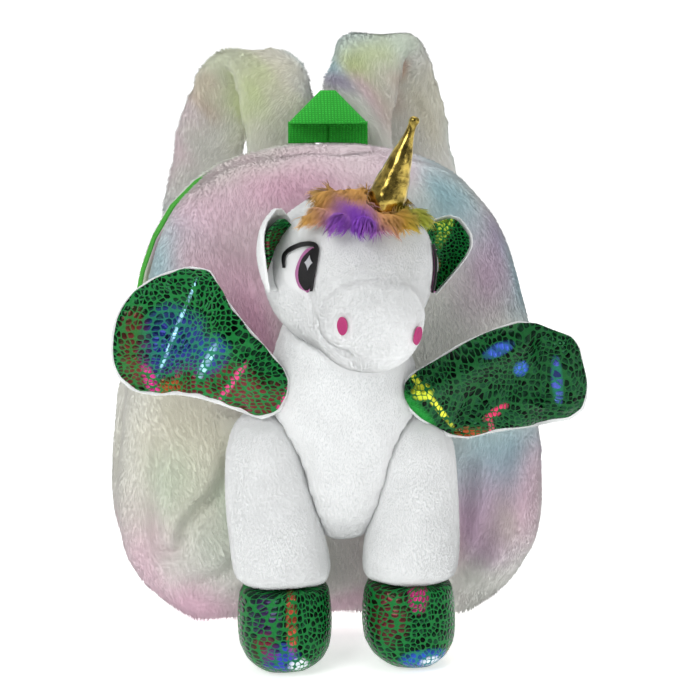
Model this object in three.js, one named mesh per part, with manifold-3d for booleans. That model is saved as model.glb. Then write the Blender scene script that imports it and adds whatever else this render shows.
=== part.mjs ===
// A child's plush backpack with a stuffed unicorn on its front. The bag is a hollow plush shell,
// closed by a zip over its top and sides, with two padded shoulder straps on webbing tails and a
// mitre-folded webbing grab handle. The unicorn has a stuffed body, head, two forelegs with shiny
// hooves, two flat wings, two cupped ears, a horn, a tuft of mane, and sewn eyes and nostrils.
// Millimetres, +Z up. The front faces -Y, and the origin is on the floor under the bag.
import * as THREE from "three";
import { mergeVertices } from "three/addons/utils/BufferGeometryUtils.js";
import Module from "manifold-3d";

const wasm = await Module();
wasm.setup();

// Driving dimensions
const CLEARANCE = 0.3; // between pieces that are sewn to each other
const BAG = {
  halfWidth: 132,
  height: 288,
  cornerRadius: 58, // bottom corners, seen from the front
  frontDepth: 60, // zip line to the front panel's rim
  backDepth: 36, // zip line to the back panel's rim
  zipY: 14, // the zip line's place behind the origin
  frontEdge: 24, // rounding from side band to front panel
  backEdge: 18,
  frontBulge: 9, // how far the front panel domes out
  backBulge: 4,
  valley: 5, // how deep the zip line lies between the two plush rolls
  zipSeat: 0.4, // how far the zip's tape stands above the bottom of that valley
  roll: 9, // how far from the zip line each roll reaches its full size
  wall: 3,
};
const ZIP = {
  opening: 9, // gap between the two plush edges
  endHeight: 78, // where the zip ends on each side
  tape: 1.2,
  coilWidth: 3.4,
  coilHeight: 1.6,
};
const SLIDER = { length: 11, width: 8, height: 4.5, pullLength: 24, pullWidth: 6, pullThick: 1.6 };
const STRAP = {
  width: 45,
  thick: 13,
  innerX: 24, // centre of the leg that rises from the top of the bag
  outerX: BAG.halfWidth * 0.727, // centre where its tail meets the bottom corner
  loopDepth: 66, // how far the loop stands out behind the back panel
};
const STRAP_APEX = { left: 345, right: 354 }; // how high each loop reaches
const TAIL = { width: 25, thick: 1.8, endHeight: 40, sag: 7 };
const HANDLE = {
  width: 49,
  topWidth: 9,
  above: 30, // fold's top above the bag
  below: 20, // its ends reach this far under the bag's top
  foldHeight: 20,
  lap: 1, // the fold's overlap behind the awning
  bulge: 14,
  webbing: 1.8,
  seam: { width: 1.2, depth: 1.1 }, // groove where the webbing's two ends meet
  x: 3, // sewn a little off the middle
};
const BODY = { halfWidth: 46, halfDepth: 29, bottom: 69, height: 143, centreX: 0, sink: 4 };
const LEG = { length: 98, halfWidth: 26, halfDepth: 24, forward: 12 };
const LEG_LEFT = { side: -1, hip: 45, knee: 40, foot: 34 };
const LEG_RIGHT = { side: 1, hip: 41, knee: 39.5, foot: 36 };
const HOOF = { height: 48, halfWidth: 27, halfDepth: 29, toe: 5 };
const HEAD = {
  length: 104,
  halfWidth: 47,
  halfHeight: 43,
  yaw: 13, // degrees, turned towards +X
  pitch: 24, // degrees, nose down
  roll: 4, // degrees, +X side down
  above: 10, // the skull's middle above the top of the body
  clearOfPanel: 1.5,
};
const HORN = { length: 50, radius: 10.5, tip: 2.2, knob: 3, lean: 18, forward: 8 };
const EAR = { length: 42, halfWidth: 13, cup: 9, layer: 2.2, trim: 1.4, stand: 1.4 };
const WING = { layer: 4.2, rim: 1, trim: 1.6, thin: 2.6 };
const WING_LEFT = { span: 87, height: 58 };
const WING_RIGHT = { span: 103, height: 60 };
const MANE = { pad: 4, lock: 17, lockRadius: 5.2, halfLength: 26, halfWidth: 15 };
const PATCH = { lift: 0.45, thick: 1.1 }; // embroidered patches over the plush
const EYE = { halfWidth: 12.5, halfHeight: 15.5 };
const NOSTRIL = { halfWidth: 3.4, halfHeight: 6.2 };

// Mesh fineness
const OUTLINE_STEPS = 44;
const BODY_SIDES = 16;

// Colours and finishes
const FINISH = {
  tieDye: { color: 0xe6cfdc, roughness: 0.95, metalness: 0 },
  white: { color: 0xf1f2f1, roughness: 0.95, metalness: 0 },
  greenScale: { color: 0x1f8a4a, roughness: 0.3, metalness: 0.5 },
  webbing: { color: 0x22a52c, roughness: 0.8, metalness: 0 },
  zip: { color: 0x3f8f2d, roughness: 0.7, metalness: 0 },
  gold: { color: 0xc9a227, roughness: 0.25, metalness: 0.9 },
  mane: { color: 0x8a4ab0, roughness: 0.95, metalness: 0 },
  thread: { color: 0x141214, roughness: 0.6, metalness: 0 },
  pink: { color: 0xe0559c, roughness: 0.7, metalness: 0 },
  nickel: { color: 0xb8bcc0, roughness: 0.3, metalness: 0.9 },
};

// Places that several pieces share
const FRONT_Y = BAG.zipY - BAG.frontDepth;
const BACK_Y = BAG.zipY + BAG.backDepth;
const MIDDLE_Z = BAG.height / 2;
const BODY_Y = FRONT_Y - BAG.frontBulge + BODY.sink - BODY.halfDepth;
const BODY_TOP = BODY.bottom + BODY.height;

const group = new THREE.Group();

function vec(x, y, z) {
  return new THREE.Vector3(x, y, z);
}

function mix(a, b, share) {
  return a + (b - a) * share;
}

function degrees(angle) {
  return THREE.MathUtils.degToRad(angle);
}

function smoothStep(share) {
  const t = Math.min(1, Math.max(0, share));
  return t * t * (3 - 2 * t);
}

// Faces between rows of points. closed joins the last row to the first.
function rowFaces(rowCount, sides, closed, open = -1) {
  const faces = [];
  for (let i = 0; i < (closed ? rowCount : rowCount - 1); i++) {
    if (i === open) continue;
    for (let j = 0; j < sides; j++) {
      const k = (j + 1) % sides;
      const [near, far] = [i * sides, ((i + 1) % rowCount) * sides];
      faces.push(near + j, near + k, far + k, near + j, far + k, far + j);
    }
  }
  return faces;
}

// Closes a ring with a fan of faces round its middle.
function cap(points, faces, ring, first, turned) {
  const centre = ring.reduce((sum, p) => sum.add(p), vec(0, 0, 0)).divideScalar(ring.length);
  points.push(centre);
  for (let j = 0; j < ring.length; j++) {
    const [p, q] = [first + j, first + ((j + 1) % ring.length)];
    faces.push(points.length - 1, ...(turned ? [q, p] : [p, q]));
  }
}

function meshOf(points, faces) {
  const geometry = new THREE.BufferGeometry().setFromPoints(points);
  geometry.setIndex(faces);
  return geometry;
}

// A closed mesh through a list of rings of equally many points, capped at both ends.
function skin(rings) {
  const sides = rings[0].length;
  const points = rings.flat();
  const faces = rowFaces(rings.length, sides, false);
  cap(points, faces, rings[0], 0, true);
  cap(points, faces, rings.at(-1), (rings.length - 1) * sides, false);
  return meshOf(points, faces);
}

// A closed wall with an outer and an inner surface, as a tray has. outer runs from the rim to the
// middle of the panel, and inner runs from the middle back to the rim.
function wall(outer, inner) {
  const sides = outer[0].length;
  const points = [...outer.flat(), ...inner.flat()];
  const faces = rowFaces(outer.length + inner.length, sides, true, outer.length - 1);
  cap(points, faces, outer.at(-1), (outer.length - 1) * sides, false);
  cap(points, faces, inner[0], outer.length * sides, true);
  return meshOf(points, faces);
}

// A mesh as a solid that can be cut and joined. Faces are turned round where they point inwards.
function solid(geometry) {
  const bare = geometry.clone();
  for (const name of Object.keys(bare.attributes)) if (name !== "position") bare.deleteAttribute(name);
  const merged = mergeVertices(bare, 1e-3);
  const triVerts = new Uint32Array(merged.index.array);
  const build = () =>
    new wasm.Manifold(
      new wasm.Mesh({ numProp: 3, vertProperties: merged.attributes.position.array, triVerts }),
    );
  const made = build();
  if (made.volume() > 0) return made;
  for (let i = 0; i < triVerts.length; i += 3)
    [triVerts[i + 1], triVerts[i + 2]] = [triVerts[i + 2], triVerts[i + 1]];
  return build();
}

function cut(piece, ...cutters) {
  return cutters.reduce((rest, cutter) => rest.subtract(cutter), piece);
}

// The largest of the bodies that a cut leaves, so that no crumb stays behind.
function largest(piece) {
  return piece.decompose().reduce((best, body) => (body.volume() > best.volume() ? body : best));
}

function geometryOf(piece) {
  const mesh = piece.getMesh();
  const positions = new Float32Array(mesh.numVert * 3);
  for (let i = 0; i < mesh.numVert; i++)
    positions.set(mesh.vertProperties.subarray(i * mesh.numProp, i * mesh.numProp + 3), i * 3);
  const geometry = new THREE.BufferGeometry();
  geometry.setAttribute("position", new THREE.BufferAttribute(positions, 3));
  geometry.setIndex(new THREE.BufferAttribute(mesh.triVerts, 1));
  return geometry;
}

function addPiece(name, piece, finish) {
  const geometry = geometryOf(largest(piece));
  geometry.computeVertexNormals();
  const mesh = new THREE.Mesh(geometry, new THREE.MeshStandardMaterial(FINISH[finish]));
  mesh.name = name;
  group.add(mesh);
}

// The value of one column between the rows of a table, on a smooth curve through them.
function columnAt(rows, column, share) {
  const key = rows.findLastIndex((row) => row.at <= share);
  const i = Math.min(Math.max(key, 0), rows.length - 2);
  const [a, b] = [rows[i], rows[i + 1]];
  const [before, after] = [rows[Math.max(i - 1, 0)], rows[Math.min(i + 2, rows.length - 1)]];
  const span = b.at - a.at;
  const t = Math.min(1, Math.max(0, (share - a.at) / span));
  const slope = (low, high) => ((high[column] - low[column]) / (high.at - low.at)) * span;
  const slopeA = slope(i === 0 ? a : before, b);
  const slopeB = slope(a, i + 2 === rows.length ? b : after);
  const [t2, t3] = [t * t, t * t * t];
  return (
    (2 * t3 - 3 * t2 + 1) * a[column] +
    (t3 - 2 * t2 + t) * slopeA +
    (3 * t2 - 2 * t3) * b[column] +
    (t3 - t2) * slopeB
  );
}

// One point of a rounded-square ring: power 2 is an ellipse, and more is squarer.
function superellipse(angle, power) {
  const [c, s] = [Math.cos(angle), Math.sin(angle)];
  const round = (v) => Math.sign(v) * Math.abs(v) ** (2 / power);
  return [round(c), round(s)];
}

// The bag's side above its bottom corner: half widths and heights as shares.
const BAG_SIDE = [
  { wide: 0.985, up: 0.42 },
  { wide: 0.94, up: 0.58 },
  { wide: 0.895, up: 0.69 },
  { wide: 0.835, up: 0.79 },
  { wide: 0.715, up: 0.885 },
  { wide: 0.51, up: 0.96 },
  { wide: 0.25, up: 0.994 },
];

// The bag's outline from the front, from the middle of its base round to the same point again.
function bagOutline() {
  const [w, r] = [BAG.halfWidth, BAG.cornerRadius];
  const ease = r * 0.54; // how far a corner's handles stay from the sharp corner
  const side = BAG_SIDE.map((row) => new THREE.Vector2(row.wide * w, row.up * BAG.height));
  const mirrored = side.map((p) => new THREE.Vector2(-p.x, p.y)).reverse();
  const path = new THREE.Path();
  path.moveTo(0, 0);
  path.lineTo(w - r, 0);
  path.bezierCurveTo(w - ease, 0, w, ease, w, r);
  path.splineThru([...side, new THREE.Vector2(0, BAG.height), ...mirrored, new THREE.Vector2(-w, r)]);
  path.bezierCurveTo(-w, ease, ease - w, 0, r - w, 0);
  path.lineTo(0, 0);
  return path.getSpacedPoints(OUTLINE_STEPS).slice(0, OUTLINE_STEPS);
}
const OUTLINE = bagOutline();

// An outline point drawn in from the edge by a length.
function insetPoint(point, inset) {
  return [
    point.x * (1 - inset / BAG.halfWidth),
    MIDDLE_Z + (point.y - MIDDLE_Z) * (1 - inset / MIDDLE_Z),
  ];
}

// Half the gap between the two halves of the bag: the zip's opening, or a sewn seam below its ends.
function halfGap(z) {
  const seam = CLEARANCE / 2;
  const blend = 14; // the length over which the opening closes at each end of the zip
  return mix(seam, ZIP.opening / 2, smoothStep((z - ZIP.endHeight) / blend + 1));
}

// Creases in the front panel, each from one point to another, as shares of the bag's half width
// and height, with a width and a depth as shares of the front panel's rounding.
const CREASES = [
  { x0: -0.8, z0: 0.47, x1: -0.73, z1: 0.15, width: 0.5, depth: 0.17 },
  { x0: -0.44, z0: 0.45, x1: -0.5, z1: 0.33, width: 0.6, depth: 0.17 },
  { x0: -0.5, z0: 0.33, x1: -0.73, z1: 0.15, width: 0.6, depth: 0.19 },
  { x0: -0.76, z0: 0.12, x1: -0.3, z1: 0.06, width: 0.5, depth: 0.13 },
  { x0: 0.84, z0: 0.42, x1: 0.72, z1: 0.07, width: 0.55, depth: 0.15 },
  { x0: 0.56, z0: 0.44, x1: 0.56, z1: 0.14, width: 0.6, depth: 0.18 },
  { x0: -0.62, z0: 0.78, x1: -0.42, z1: 0.7, width: 0.55, depth: 0.15 },
];

function creaseDepth(x, z) {
  let depth = 0;
  for (const crease of CREASES) {
    const [ax, az] = [crease.x0 * BAG.halfWidth, crease.z0 * BAG.height];
    const [bx, bz] = [crease.x1 * BAG.halfWidth, crease.z1 * BAG.height];
    const length2 = (bx - ax) ** 2 + (bz - az) ** 2;
    const t = Math.min(1, Math.max(0, ((x - ax) * (bx - ax) + (z - az) * (bz - az)) / length2));
    const away = Math.hypot(x - mix(ax, bx, t), z - mix(az, bz, t));
    const width = crease.width * BAG.frontEdge;
    depth = Math.max(depth, crease.depth * BAG.frontEdge * Math.exp(-((away / width) ** 2)));
  }
  return depth;
}

// The rings of one half of the bag, from its rim at the zip line to the middle of its panel.
// grow moves the surface outwards, or inwards when it is negative.
function trayRings(facing, depth, edge, bulge, creased, grow, domeRings, edgeSteps = 3) {
  const rings = [];
  const addRing = (out, inset, insetAtRim) => {
    rings.push(
      OUTLINE.map((point) => {
        const [x, z] = insetPoint(point, inset - grow);
        const rim = halfGap(point.y);
        const reach = insetAtRim ? rim + out : Math.max(out, rim + 1);
        const dent = creased ? creaseDepth(x, z) * smoothStep(out / depth) : 0;
        return vec(x, BAG.zipY + facing * (reach - dent), z);
      }),
    );
  };
  addRing(Math.min(0, -grow), BAG.valley, true);
  addRing(BAG.roll * 0.35, BAG.valley * 0.35, true);
  addRing(BAG.roll, 0, true);
  addRing(depth - edge, 0, false);
  for (let i = 1; i <= edgeSteps; i++) {
    const angle = (i / edgeSteps) * (Math.PI / 2);
    const out = depth - edge + (edge + grow) * Math.sin(angle);
    addRing(out, edge * (1 - Math.cos(angle)) + grow * (1 - Math.cos(angle)), false);
  }
  for (let i = 1; i <= domeRings; i++) {
    const share = 1 - i / (domeRings + 0.6);
    const inset = MIDDLE_Z * (1 - share) + (edge + grow) * share;
    addRing(depth + grow + bulge * (1 - share * share), inset, false);
  }
  return rings;
}

function bagHalf(facing, depth, edge, bulge, creased, domeRings) {
  const outer = trayRings(facing, depth, edge, bulge, creased, 0, domeRings);
  const inner = trayRings(facing, depth, edge, bulge, creased, -BAG.wall, Math.ceil(domeRings / 2), 2);
  return solid(wall(outer, inner.reverse()));
}

// The same half filled and grown by the clearance, to cut what is sewn to it.
function bagHalfCutter(facing, depth, edge, bulge, creased, domeRings) {
  return solid(skin(trayRings(facing, depth, edge, bulge, creased, CLEARANCE, domeRings)));
}

const FRONT_HALF = [-1, BAG.frontDepth, BAG.frontEdge, BAG.frontBulge, true, 5];
const BACK_HALF = [1, BAG.backDepth, BAG.backEdge, BAG.backBulge, false, 1];
const frontCutter = bagHalfCutter(...FRONT_HALF);
const backCutter = bagHalfCutter(...BACK_HALF);

// The outline's stretch above a height, from the right-hand side over the top to the left.
function outlineAbove(height) {
  const above = OUTLINE.filter((point) => point.y > height);
  const cross = (low, high) => low.clone().lerp(high, (height - low.y) / (high.y - low.y));
  const first = OUTLINE.indexOf(above[0]);
  const last = OUTLINE.indexOf(above.at(-1));
  return [
    cross(OUTLINE[first - 1], OUTLINE[first]),
    ...above,
    cross(OUTLINE[(last + 1) % OUTLINE.length], OUTLINE[last]),
  ];
}

// The zip: tape with a raised coil, bent along the outline from one end to the other.
function zip() {
  const seat = BAG.valley - BAG.zipSeat;
  const halfTape = ZIP.opening / 2 - CLEARANCE;
  const halfCoil = ZIP.coilWidth / 2;
  const section = [
    [-halfTape, ZIP.tape],
    [-halfTape, 0],
    [-halfCoil, 0],
    [-halfCoil, -ZIP.coilHeight],
    [halfCoil, -ZIP.coilHeight],
    [halfCoil, 0],
    [halfTape, 0],
    [halfTape, ZIP.tape],
  ];
  const rings = outlineAbove(ZIP.endHeight).map((point) =>
    section.map(([across, inset]) => {
      const [x, z] = insetPoint(point, seat + inset);
      return vec(x, BAG.zipY + across, z);
    }),
  );
  return solid(skin(rings));
}

// The slider stands on the coil just above the zip's right-hand end, with its pull hanging down.
function slider() {
  const point = outlineAbove(ZIP.endHeight + SLIDER.length)[0];
  const [x, z] = insetPoint(point, BAG.valley - BAG.zipSeat - ZIP.coilHeight - CLEARANCE);
  const body = new THREE.BoxGeometry(SLIDER.height, SLIDER.width, SLIDER.length);
  body.translate(x + SLIDER.height / 2, BAG.zipY, z);
  const pull = new THREE.BoxGeometry(SLIDER.pullThick, SLIDER.pullWidth, SLIDER.pullLength);
  pull.translate(x + SLIDER.height, BAG.zipY, z - SLIDER.pullLength / 2);
  return solid(body).add(solid(pull));
}

// A strap's route: each row is a point, as shares of the spread from innerX to outerX, of the
// loop's depth behind the back panel, and of the height from the floor to the apex. flat says how
// much of its full thickness and width the padding has there.
const STRAP_ROUTE = [
  { at: 0, out: 0.0, back: 0.0, up: 0.7, flat: 0.4 },
  { at: 0.1, out: 0.0, back: 0.1, up: 0.79, flat: 0.85 },
  { at: 0.2, out: 0.05, back: 0.12, up: 0.88, flat: 1 },
  { at: 0.3, out: 0.13, back: 0.22, up: 0.957, flat: 1 },
  { at: 0.38, out: 0.26, back: 0.47, up: 0.98, flat: 0.95 },
  { at: 0.46, out: 0.44, back: 0.76, up: 0.935, flat: 1 },
  { at: 0.55, out: 0.61, back: 0.9, up: 0.82, flat: 1 },
  { at: 0.68, out: 0.76, back: 0.92, up: 0.64, flat: 1 },
  { at: 0.84, out: 0.88, back: 0.78, up: 0.44, flat: 0.95 },
  { at: 1, out: 0.95, back: 0.52, up: 0.285, flat: 0.62 },
];
const SIDES = { left: -1, right: 1 };

function strapPoint(name, share) {
  const out = columnAt(STRAP_ROUTE, "out", share);
  return vec(
    SIDES[name] * mix(STRAP.innerX, STRAP.outerX, out),
    BACK_Y + BAG.backBulge + columnAt(STRAP_ROUTE, "back", share) * STRAP.loopDepth,
    columnAt(STRAP_ROUTE, "up", share) * STRAP_APEX[name],
  );
}

// A band along a route: across is its width's direction, kept square to the route.
function band(route, widths, thicknesses, sides, power) {
  const rings = route.map((centre, i) => {
    const [last, next] = [route[Math.max(i - 1, 0)], route[Math.min(i + 1, route.length - 1)]];
    const along = next.clone().sub(last).normalize();
    const across = vec(1, 0, 0).addScaledVector(along, -along.x).normalize();
    const through = along.clone().cross(across);
    return Array.from({ length: sides }, (_, j) => {
      const [c, s] = superellipse((j / sides) * 2 * Math.PI, power);
      return centre
        .clone()
        .addScaledVector(across, (c * widths[i]) / 2)
        .addScaledVector(through, (s * thicknesses[i]) / 2);
    });
  });
  return solid(skin(rings));
}

function strap(name) {
  const steps = 20;
  const shares = Array.from({ length: steps + 1 }, (_, i) => i / steps);
  const flats = shares.map((share) => columnAt(STRAP_ROUTE, "flat", share));
  return band(
    shares.map((share) => strapPoint(name, share)),
    flats.map((flat) => STRAP.width * mix(0.8, 1, flat)),
    flats.map((flat) => STRAP.thick * flat),
    10,
    2.6,
  );
}

// The webbing tail runs from the padded strap's end down to the back panel's bottom corner.
function tail(name) {
  const start = strapPoint(name, 1);
  const leaving = start.clone().sub(strapPoint(name, 0.97)).normalize();
  const end = vec(SIDES[name] * STRAP.outerX, BACK_Y - BAG.backEdge / 2, TAIL.endHeight);
  const middle = start.clone().lerp(end, 0.5).add(vec(0, TAIL.sag, TAIL.sag / 2));
  const curve = new THREE.CatmullRomCurve3([
    start.clone().addScaledVector(leaving, CLEARANCE),
    start.clone().addScaledVector(leaving, TAIL.sag),
    middle,
    end,
  ]);
  const route = curve.getSpacedPoints(9);
  return band(route, route.map(() => TAIL.width), route.map(() => TAIL.thick), 8, 8);
}

// The grab handle: webbing whose two ends rise side by side from the back seam, folded on the
// slant at the top, so that its middle hangs in front as a small awning.
function handle() {
  const planeY = BACK_Y - BAG.backEdge * 0.62;
  const top = BAG.height + HANDLE.above;
  const fold = top - HANDLE.foldHeight;
  const arcSteps = 12;
  const ringAt = (z, grow) => {
    const share = Math.min((top - z) / HANDLE.foldHeight, 1);
    const half = mix(HANDLE.topWidth, HANDLE.width, share) / 2 + grow;
    const out = mix(HANDLE.webbing * 1.6, HANDLE.bulge, share) + grow;
    const front = Array.from({ length: arcSteps + 1 }, (_, i) => {
      const angle = (i / arcSteps) * Math.PI;
      return vec(-half * Math.cos(angle), planeY - out * Math.sin(angle) ** 0.7, z);
    });
    const back = planeY + HANDLE.webbing + grow;
    return [...front, vec(half, back, z), vec(-half, back, z)];
  };
  const middle = mix(fold, top, 0.5);
  const awning = solid(skin([ringAt(fold, 0), ringAt(middle, 0), ringAt(top, 0)]));
  const inside = [ringAt(fold - 1, -HANDLE.webbing), ringAt(middle, -HANDLE.webbing)];
  inside.push(ringAt(top - HANDLE.webbing, -HANDLE.webbing));
  const legHeight = fold + HANDLE.lap - BAG.height + HANDLE.below;
  const legs = new THREE.BoxGeometry(HANDLE.width, HANDLE.webbing, legHeight);
  legs.translate(0, planeY + HANDLE.webbing / 2, fold + HANDLE.lap - legHeight / 2);
  const seam = new THREE.BoxGeometry(HANDLE.seam.width, HANDLE.seam.depth * 2, legHeight);
  seam.translate(0, planeY, fold - legHeight / 2);
  const webbing = cut(cut(awning, solid(skin(inside))).add(solid(legs)), solid(seam));
  return cut(webbing.translate([HANDLE.x, 0, 0]), backCutter);
}

// A stuffed form through rounded sections stacked upwards. Each row gives its height, its middle
// and its half sizes, as shares of the sizes that are passed in.
function stuffed(rows, size, sides, steps, grow = 0) {
  const rings = Array.from({ length: steps + 1 }, (_, i) => {
    const share = mix(rows[0].at, rows.at(-1).at, i / steps);
    const value = (column) => columnAt(rows, column, share);
    return Array.from({ length: sides }, (_, j) => {
      const [c, s] = superellipse((j / sides) * 2 * Math.PI, 2.2);
      return vec(
        size.x(share) + c * (value("wide") * size.halfWidth + grow),
        size.y(share) + s * (value("deep") * size.halfDepth + grow),
        size.z0 + share * size.height + (i === 0 ? -grow : i === steps ? grow : 0),
      );
    });
  });
  return solid(skin(rings));
}

const BODY_ROWS = [
  { at: 0, wide: 0.26, deep: 0.3 },
  { at: 0.04, wide: 0.5, deep: 0.56 },
  { at: 0.15, wide: 0.78, deep: 0.82 },
  { at: 0.34, wide: 0.95, deep: 0.97 },
  { at: 0.5, wide: 1, deep: 1 },
  { at: 0.66, wide: 0.9, deep: 0.97 },
  { at: 0.82, wide: 0.76, deep: 0.9 },
  { at: 1, wide: 0.6, deep: 0.72 },
];
const LEG_ROWS = [
  { at: 0, wide: 1, deep: 0.97 },
  { at: 0.12, wide: 1.04, deep: 1.02 },
  { at: 0.3, wide: 1.0, deep: 1 },
  { at: 0.58, wide: 0.9, deep: 0.96 },
  { at: 0.8, wide: 0.78, deep: 0.86 },
  { at: 0.93, wide: 0.52, deep: 0.6 },
  { at: 1, wide: 0.16, deep: 0.2 },
];
const HOOF_ROWS = [
  { at: 0, wide: 0.52, deep: 0.52 },
  { at: 0.07, wide: 0.72, deep: 0.74 },
  { at: 0.24, wide: 0.93, deep: 0.95 },
  { at: 0.5, wide: 1.0, deep: 1.0 },
  { at: 0.78, wide: 0.98, deep: 0.93 },
  { at: 1, wide: 0.93, deep: 0.83 },
];

// A leg's middle: straight over the foot, bowed at the knee, and in at the hip.
function legMiddle(leg) {
  const rows = [
    { at: 0, x: leg.foot },
    { at: 0.45, x: leg.knee },
    { at: 1, x: leg.hip },
  ];
  return {
    x: (share) => leg.side * columnAt(rows, "x", share),
    y: (share) => BODY_Y - mix(LEG.forward, 2, share),
  };
}

function legSolid(leg, grow = 0) {
  const size = {
    ...legMiddle(leg),
    z0: HOOF.height + CLEARANCE / 2,
    height: LEG.length - CLEARANCE / 2,
    halfWidth: LEG.halfWidth,
    halfDepth: LEG.halfDepth,
  };
  return stuffed(LEG_ROWS, size, 16, 9, grow);
}

function hoof(leg) {
  const foot = legMiddle(leg);
  const size = {
    x: () => foot.x(0),
    y: (share) => foot.y(0) - HOOF.toe * (1 - share) ** 2,
    z0: 0,
    height: HOOF.height - CLEARANCE / 2,
    halfWidth: HOOF.halfWidth,
    halfDepth: HOOF.halfDepth,
  };
  return stuffed(HOOF_ROWS, size, 16, 7);
}

// The head lies along its own axis, from the back of the skull to the nose. rise lifts a section.
const HEAD_ROWS = [
  { at: 0, wide: 0.2, tall: 0.22, rise: 0.02 },
  { at: 0.05, wide: 0.55, tall: 0.58, rise: 0.02 },
  { at: 0.18, wide: 0.89, tall: 0.88, rise: 0.02 },
  { at: 0.36, wide: 1.0, tall: 1.0, rise: 0 },
  { at: 0.52, wide: 0.93, tall: 0.93, rise: -0.02 },
  { at: 0.66, wide: 0.72, tall: 0.74, rise: -0.08 },
  { at: 0.8, wide: 0.62, tall: 0.64, rise: -0.13 },
  { at: 0.92, wide: 0.53, tall: 0.53, rise: -0.14 },
  { at: 0.98, wide: 0.36, tall: 0.35, rise: -0.14 },
  { at: 1, wide: 0.16, tall: 0.16, rise: -0.14 },
];
const HEAD_TURN = new THREE.Matrix4()
  .makeRotationY(degrees(HEAD.roll))
  .multiply(new THREE.Matrix4().makeRotationZ(degrees(HEAD.yaw)))
  .multiply(new THREE.Matrix4().makeRotationX(degrees(90 + HEAD.pitch)));
const SKULL_SHARE = 0.36; // the widest section
const SKULL = vec(
  BODY.centreX + 2.5,
  FRONT_Y - BAG.frontBulge - HEAD.clearOfPanel - SKULL_SHARE * HEAD.length * Math.cos(degrees(HEAD.pitch)),
  BODY_TOP + HEAD.above,
);

// A point of the head: share along its axis, and angle round it, from +X over the top.
function headPoint(share, angle, lift = 0) {
  const value = (column) => columnAt(HEAD_ROWS, column, share);
  const [c, s] = superellipse(angle, 2.15);
  const step = 0.02;
  const widthAt = (place) => columnAt(HEAD_ROWS, "wide", place);
  const slant = (widthAt(share + step) - widthAt(share - step)) / (2 * step);
  const tilt = Math.atan2(slant * HEAD.halfWidth, HEAD.length);
  const point = vec(
    c * (value("wide") * HEAD.halfWidth + lift * Math.cos(tilt)),
    s * (value("tall") * HEAD.halfHeight + lift * Math.cos(tilt)) + value("rise") * HEAD.halfHeight,
    (share - SKULL_SHARE) * HEAD.length - lift * Math.sin(tilt),
  );
  return point.applyMatrix4(HEAD_TURN).add(SKULL);
}

function headSolid(grow = 0) {
  const [sides, steps] = [20, 14];
  const rings = Array.from({ length: steps + 1 }, (_, i) => {
    const share = 0.5 - 0.5 * Math.cos((i / steps) * Math.PI);
    return Array.from({ length: sides }, (_, j) => headPoint(share, (j / sides) * 2 * Math.PI, grow));
  });
  return solid(skin(rings));
}

// A thin oval patch that follows the head's surface.
function headPatch(share, angle, halfAlong, halfRound, thick, rings = 2, sides = 14) {
  const radius = HEAD.halfWidth * columnAt(HEAD_ROWS, "wide", share);
  const layer = (lift) => {
    const made = [];
    for (let i = rings; i >= 1; i--)
      made.push(
        Array.from({ length: sides }, (_, j) => {
          const turn = (j / sides) * 2 * Math.PI;
          const reach = i / rings;
          return headPoint(
            share + (reach * Math.cos(turn) * halfAlong) / HEAD.length,
            angle + (reach * Math.sin(turn) * halfRound) / radius,
            lift,
          );
        }),
      );
    return made;
  };
  return solid(wall(layer(PATCH.lift + thick), layer(PATCH.lift).reverse()));
}

// The face's places: share along the head and angle round it, in degrees.
const EYE_PLACE = { share: 0.6, angle: 22 };
const NOSTRIL_PLACE = { share: 0.945, left: 160, right: 12 };
const MANE_PLACE = { share: 0.42, angle: 92 };
const HORN_PLACE = { share: 0.38, angle: 78 };

function eye(side) {
  const angle = side > 0 ? EYE_PLACE.angle : 180 - EYE_PLACE.angle;
  return headPatch(EYE_PLACE.share, degrees(angle), EYE.halfWidth, EYE.halfHeight, PATCH.thick);
}

function nostril(side) {
  const angle = degrees(side > 0 ? NOSTRIL_PLACE.right : NOSTRIL_PLACE.left);
  return headPatch(NOSTRIL_PLACE.share, angle, NOSTRIL.halfWidth, NOSTRIL.halfHeight, PATCH.thick, 1, 10);
}

// A round form along an axis, from a base point. Each row gives its share of the length and radius.
function turned(rows, base, axis, length, radius, sides) {
  const along = axis.clone().normalize();
  const across = vec(0, 1, 0).addScaledVector(along, -along.y).normalize();
  const third = along.clone().cross(across);
  const rings = rows.map(({ at, round }) =>
    Array.from({ length: sides }, (_, j) => {
      const turn = (j / sides) * 2 * Math.PI;
      return base
        .clone()
        .addScaledVector(along, at * length)
        .addScaledVector(across, Math.cos(turn) * round * radius)
        .addScaledVector(third, Math.sin(turn) * round * radius);
    }),
  );
  return solid(skin(rings));
}

const HORN_BASE = headPoint(HORN_PLACE.share, degrees(HORN_PLACE.angle), 0);
const HORN_AXIS = vec(
  Math.sin(degrees(HORN.lean)),
  -Math.sin(degrees(HORN.forward)),
  Math.cos(degrees(HORN.lean)),
).normalize();
function horn(grow = 0) {
  const knob = HORN.knob / HORN.radius;
  const tip = HORN.tip / HORN.radius;
  const rows = [
    { at: -0.12, round: 1.02 },
    { at: 0.1, round: 1 },
    { at: 0.3, round: 0.84 },
    { at: 0.55, round: 0.56 },
    { at: 0.78, round: mix(tip, 0.5, 0.28) },
    { at: 0.9, round: tip },
    { at: 0.93, round: mix(tip, knob, 0.8) },
    { at: 0.965, round: knob },
    { at: 0.99, round: mix(0, knob, 0.75) },
    { at: 1, round: knob * 0.2 },
  ].map((row) => ({ at: row.at, round: row.round + grow / HORN.radius }));
  return turned(rows, HORN_BASE, HORN_AXIS, HORN.length, HORN.radius, 14);
}

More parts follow.
